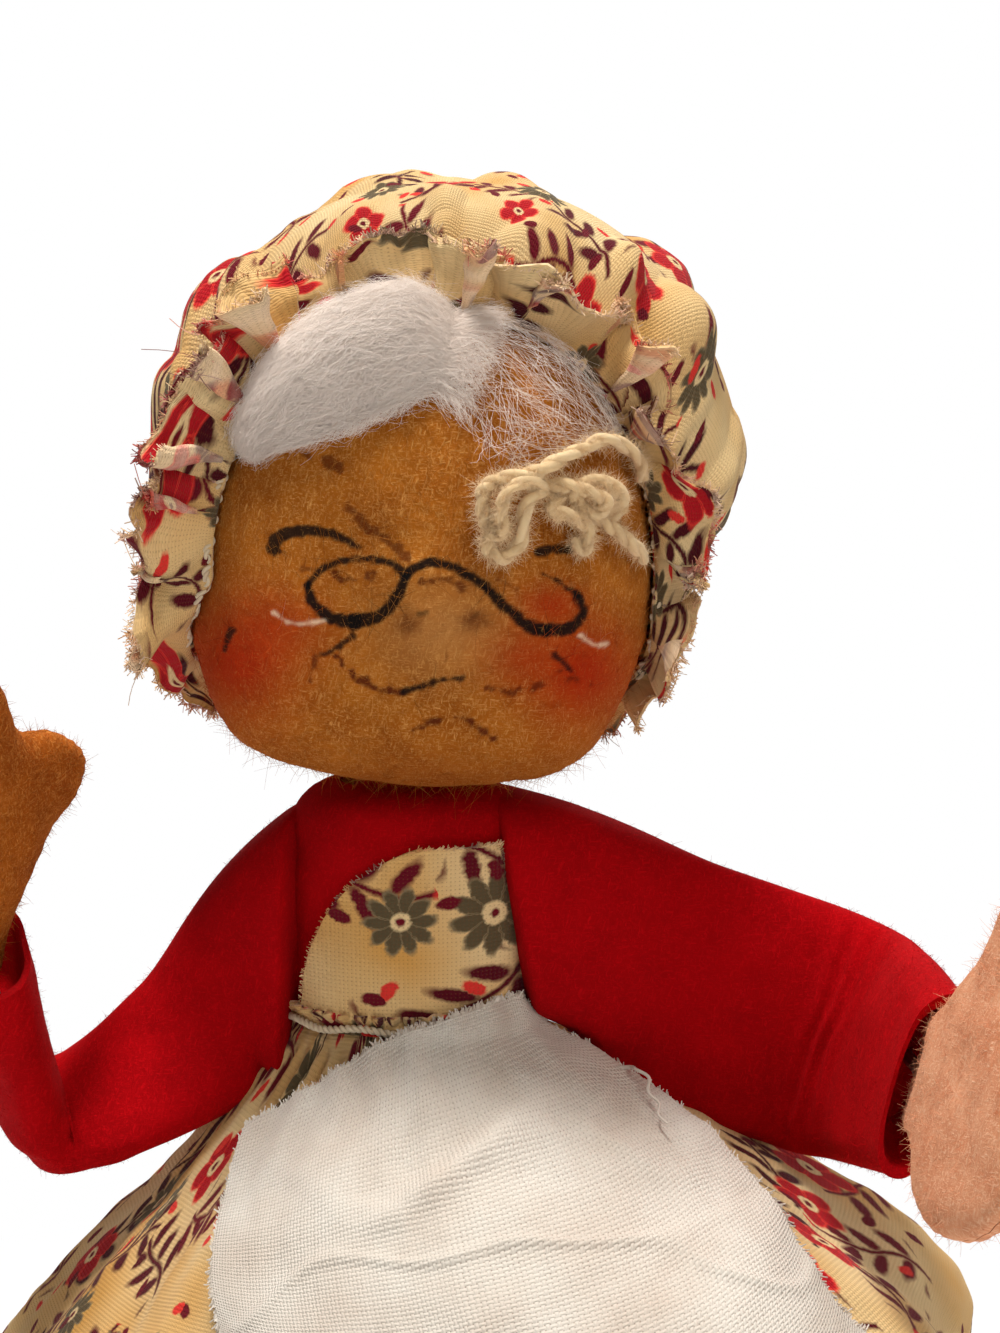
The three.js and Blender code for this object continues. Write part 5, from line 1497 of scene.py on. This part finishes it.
def shoe_sole(x):
    """Rings of a flat sole with round ends and a slightly rounded edge."""
    turn, half = full_turn(144), SHOE_WIDTH / 2
    run = np.where(np.sin(turn) > 0, HEEL - half, half + HEEL - SHOE_LENGTH)
    share = np.array([0.8, 0.97, 1.0, 1.0, 0.97, 0.8])[:, None]
    z = np.array([0, 0, SOLE_ROUND, SOLE - SOLE_ROUND, SOLE, SOLE])[:, None]
    return joined(x + share * half * np.cos(turn), share * half * np.sin(turn) + run, z)


def make_leg(name, x):
    """Thigh, shin and shoe, at a place across the doll."""
    for part, rings, material, body, padding in (
        ("thigh_felt", limb(x, HIP_Z - 0.6, KNEE_Z - 1.0, THIGH_R), RED, "thigh", 0.8),
        ("shin_felt", limb(x, KNEE_Z + 1.0, ANKLE_Z - 1.5, SHIN_R), RED, "shin", 0.8),
        ("shoe_upper", shoe_upper(x), BLACK, "foot", 0.8),
        ("shoe_sole", shoe_sole(x), BLACK, "foot", None),
    ):
        piece = Piece()
        piece.loft(rings)
        dress(piece, f"{name}_{part}", material, f"{name}_{body}")


# Stage


def add_camera():
    data = bpy.data.cameras.new("camera")
    data.sensor_fit = "VERTICAL"
    data.sensor_height = SENSOR
    data.lens = SENSOR * VIEW_DISTANCE * PIXELS_PER_MM / IMAGE[1]
    data.clip_start, data.clip_end = 0.01, 20
    camera = bpy.data.objects.new("camera", data)
    camera.location = in_row(EYE)
    camera.rotation_euler = (math.pi / 2 - VIEW_RISE, 0, 0)
    bpy.context.scene.collection.objects.link(camera)
    bpy.context.scene.camera = camera


def add_lamp(name, place, size, watts, tint):
    data = bpy.data.lights.new(name, "AREA")
    data.shape, data.size, data.energy, data.color = "DISK", size, watts, tint
    lamp = bpy.data.objects.new(name, data)
    lamp.location = in_row(place)
    x, y, z = np.array(in_row(LAMP_AIM)) - np.array(lamp.location)
    lamp.rotation_euler = (math.acos(-z / math.hypot(x, y, z)), 0, math.atan2(y, x) - math.pi / 2)
    bpy.context.scene.collection.objects.link(lamp)


def add_world():
    """Soft even light, white where it is seen."""
    world = bpy.data.worlds.new("world")
    bpy.context.scene.world = world
    nodes = Nodes(world)
    nodes.tree.nodes.clear()
    soft = nodes.node("Background", {"Color": WORLD_TINT, "Strength": WORLD_STRENGTH})
    white = nodes.node("Background", {"Color": WHITE, "Strength": 1})
    mix = nodes.node("MixShader", {0: nodes.seen_directly(), 1: soft.outputs[0], 2: white.outputs[0]})
    nodes.node("OutputWorld", {0: mix.outputs[0]})


def add_floor():
    """A pale floor that keeps the doll's shadow and turns white further off."""
    mesh = bpy.data.meshes.new("floor")
    rim = [(FLOOR_RADIUS * math.cos(a), FLOOR_RADIUS * math.sin(a), 0) for a in full_turn(FLOOR_SIDES)]
    mesh.from_pydata(rim, [], [range(FLOOR_SIDES)])
    nodes = Nodes(bpy.data.materials.new("floor"))
    surface = nodes.tree.nodes["Principled BSDF"]
    surface.inputs["Base Color"].default_value = FLOOR_TONE
    surface.inputs["Roughness"].default_value = FLOOR_ROUGH
    glow = nodes.node("Emission", {"Strength": 1})
    place = nodes.node("NewGeometry").outputs["Position"]
    reach = nodes.node("VectorMath", {0: place}, operation="LENGTH").outputs["Value"]
    fade = nodes.node("MapRange", {0: reach, 1: SHADOW_NEAR, 2: SHADOW_FAR, 3: SHADOW_GLOW, 4: 1.0})
    share = nodes.math("MULTIPLY", nodes.seen_directly(), fade.outputs[0])
    mix = nodes.node("MixShader", {0: share, 1: surface.outputs[0], 2: glow.outputs[0]})
    nodes.feed(nodes.tree.nodes["Material Output"].inputs["Surface"], mix.outputs[0])
    mesh.materials.append(nodes.holder)
    floor = bpy.data.objects.new("floor", mesh)
    bpy.context.scene.collection.objects.link(floor)


# The doll and its stage

for node, holder in frame["nodes"].items():
    if node.endswith("_wire"):
        holder.data.materials.clear()
        holder.data.materials.append(WIRE)

make_torso_stuffing()
make_bodice("bodice_front", -1)
make_bodice("bodice_back", 1)
make_bib()
make_waist_thread()
make_skirt()
make_apron()
make_face()
make_head_back()
make_head_stuffing()
make_neck()
make_crown()
make_ruffle()
make_cap_thread()
make_hair()
make_yarn()
for arm, arm_pose in ARM_POSES.items():
    make_sleeves(arm, arm_pose)
    make_hand(arm, arm_pose)
make_leg("left", HIP_X)
make_leg("right", -HIP_X)

add_camera()
for lamp_name, lamp_facts in LAMPS.items():
    add_lamp(lamp_name, *lamp_facts)
add_world()
add_floor()
bpy.context.scene.view_settings.view_transform = "Standard"
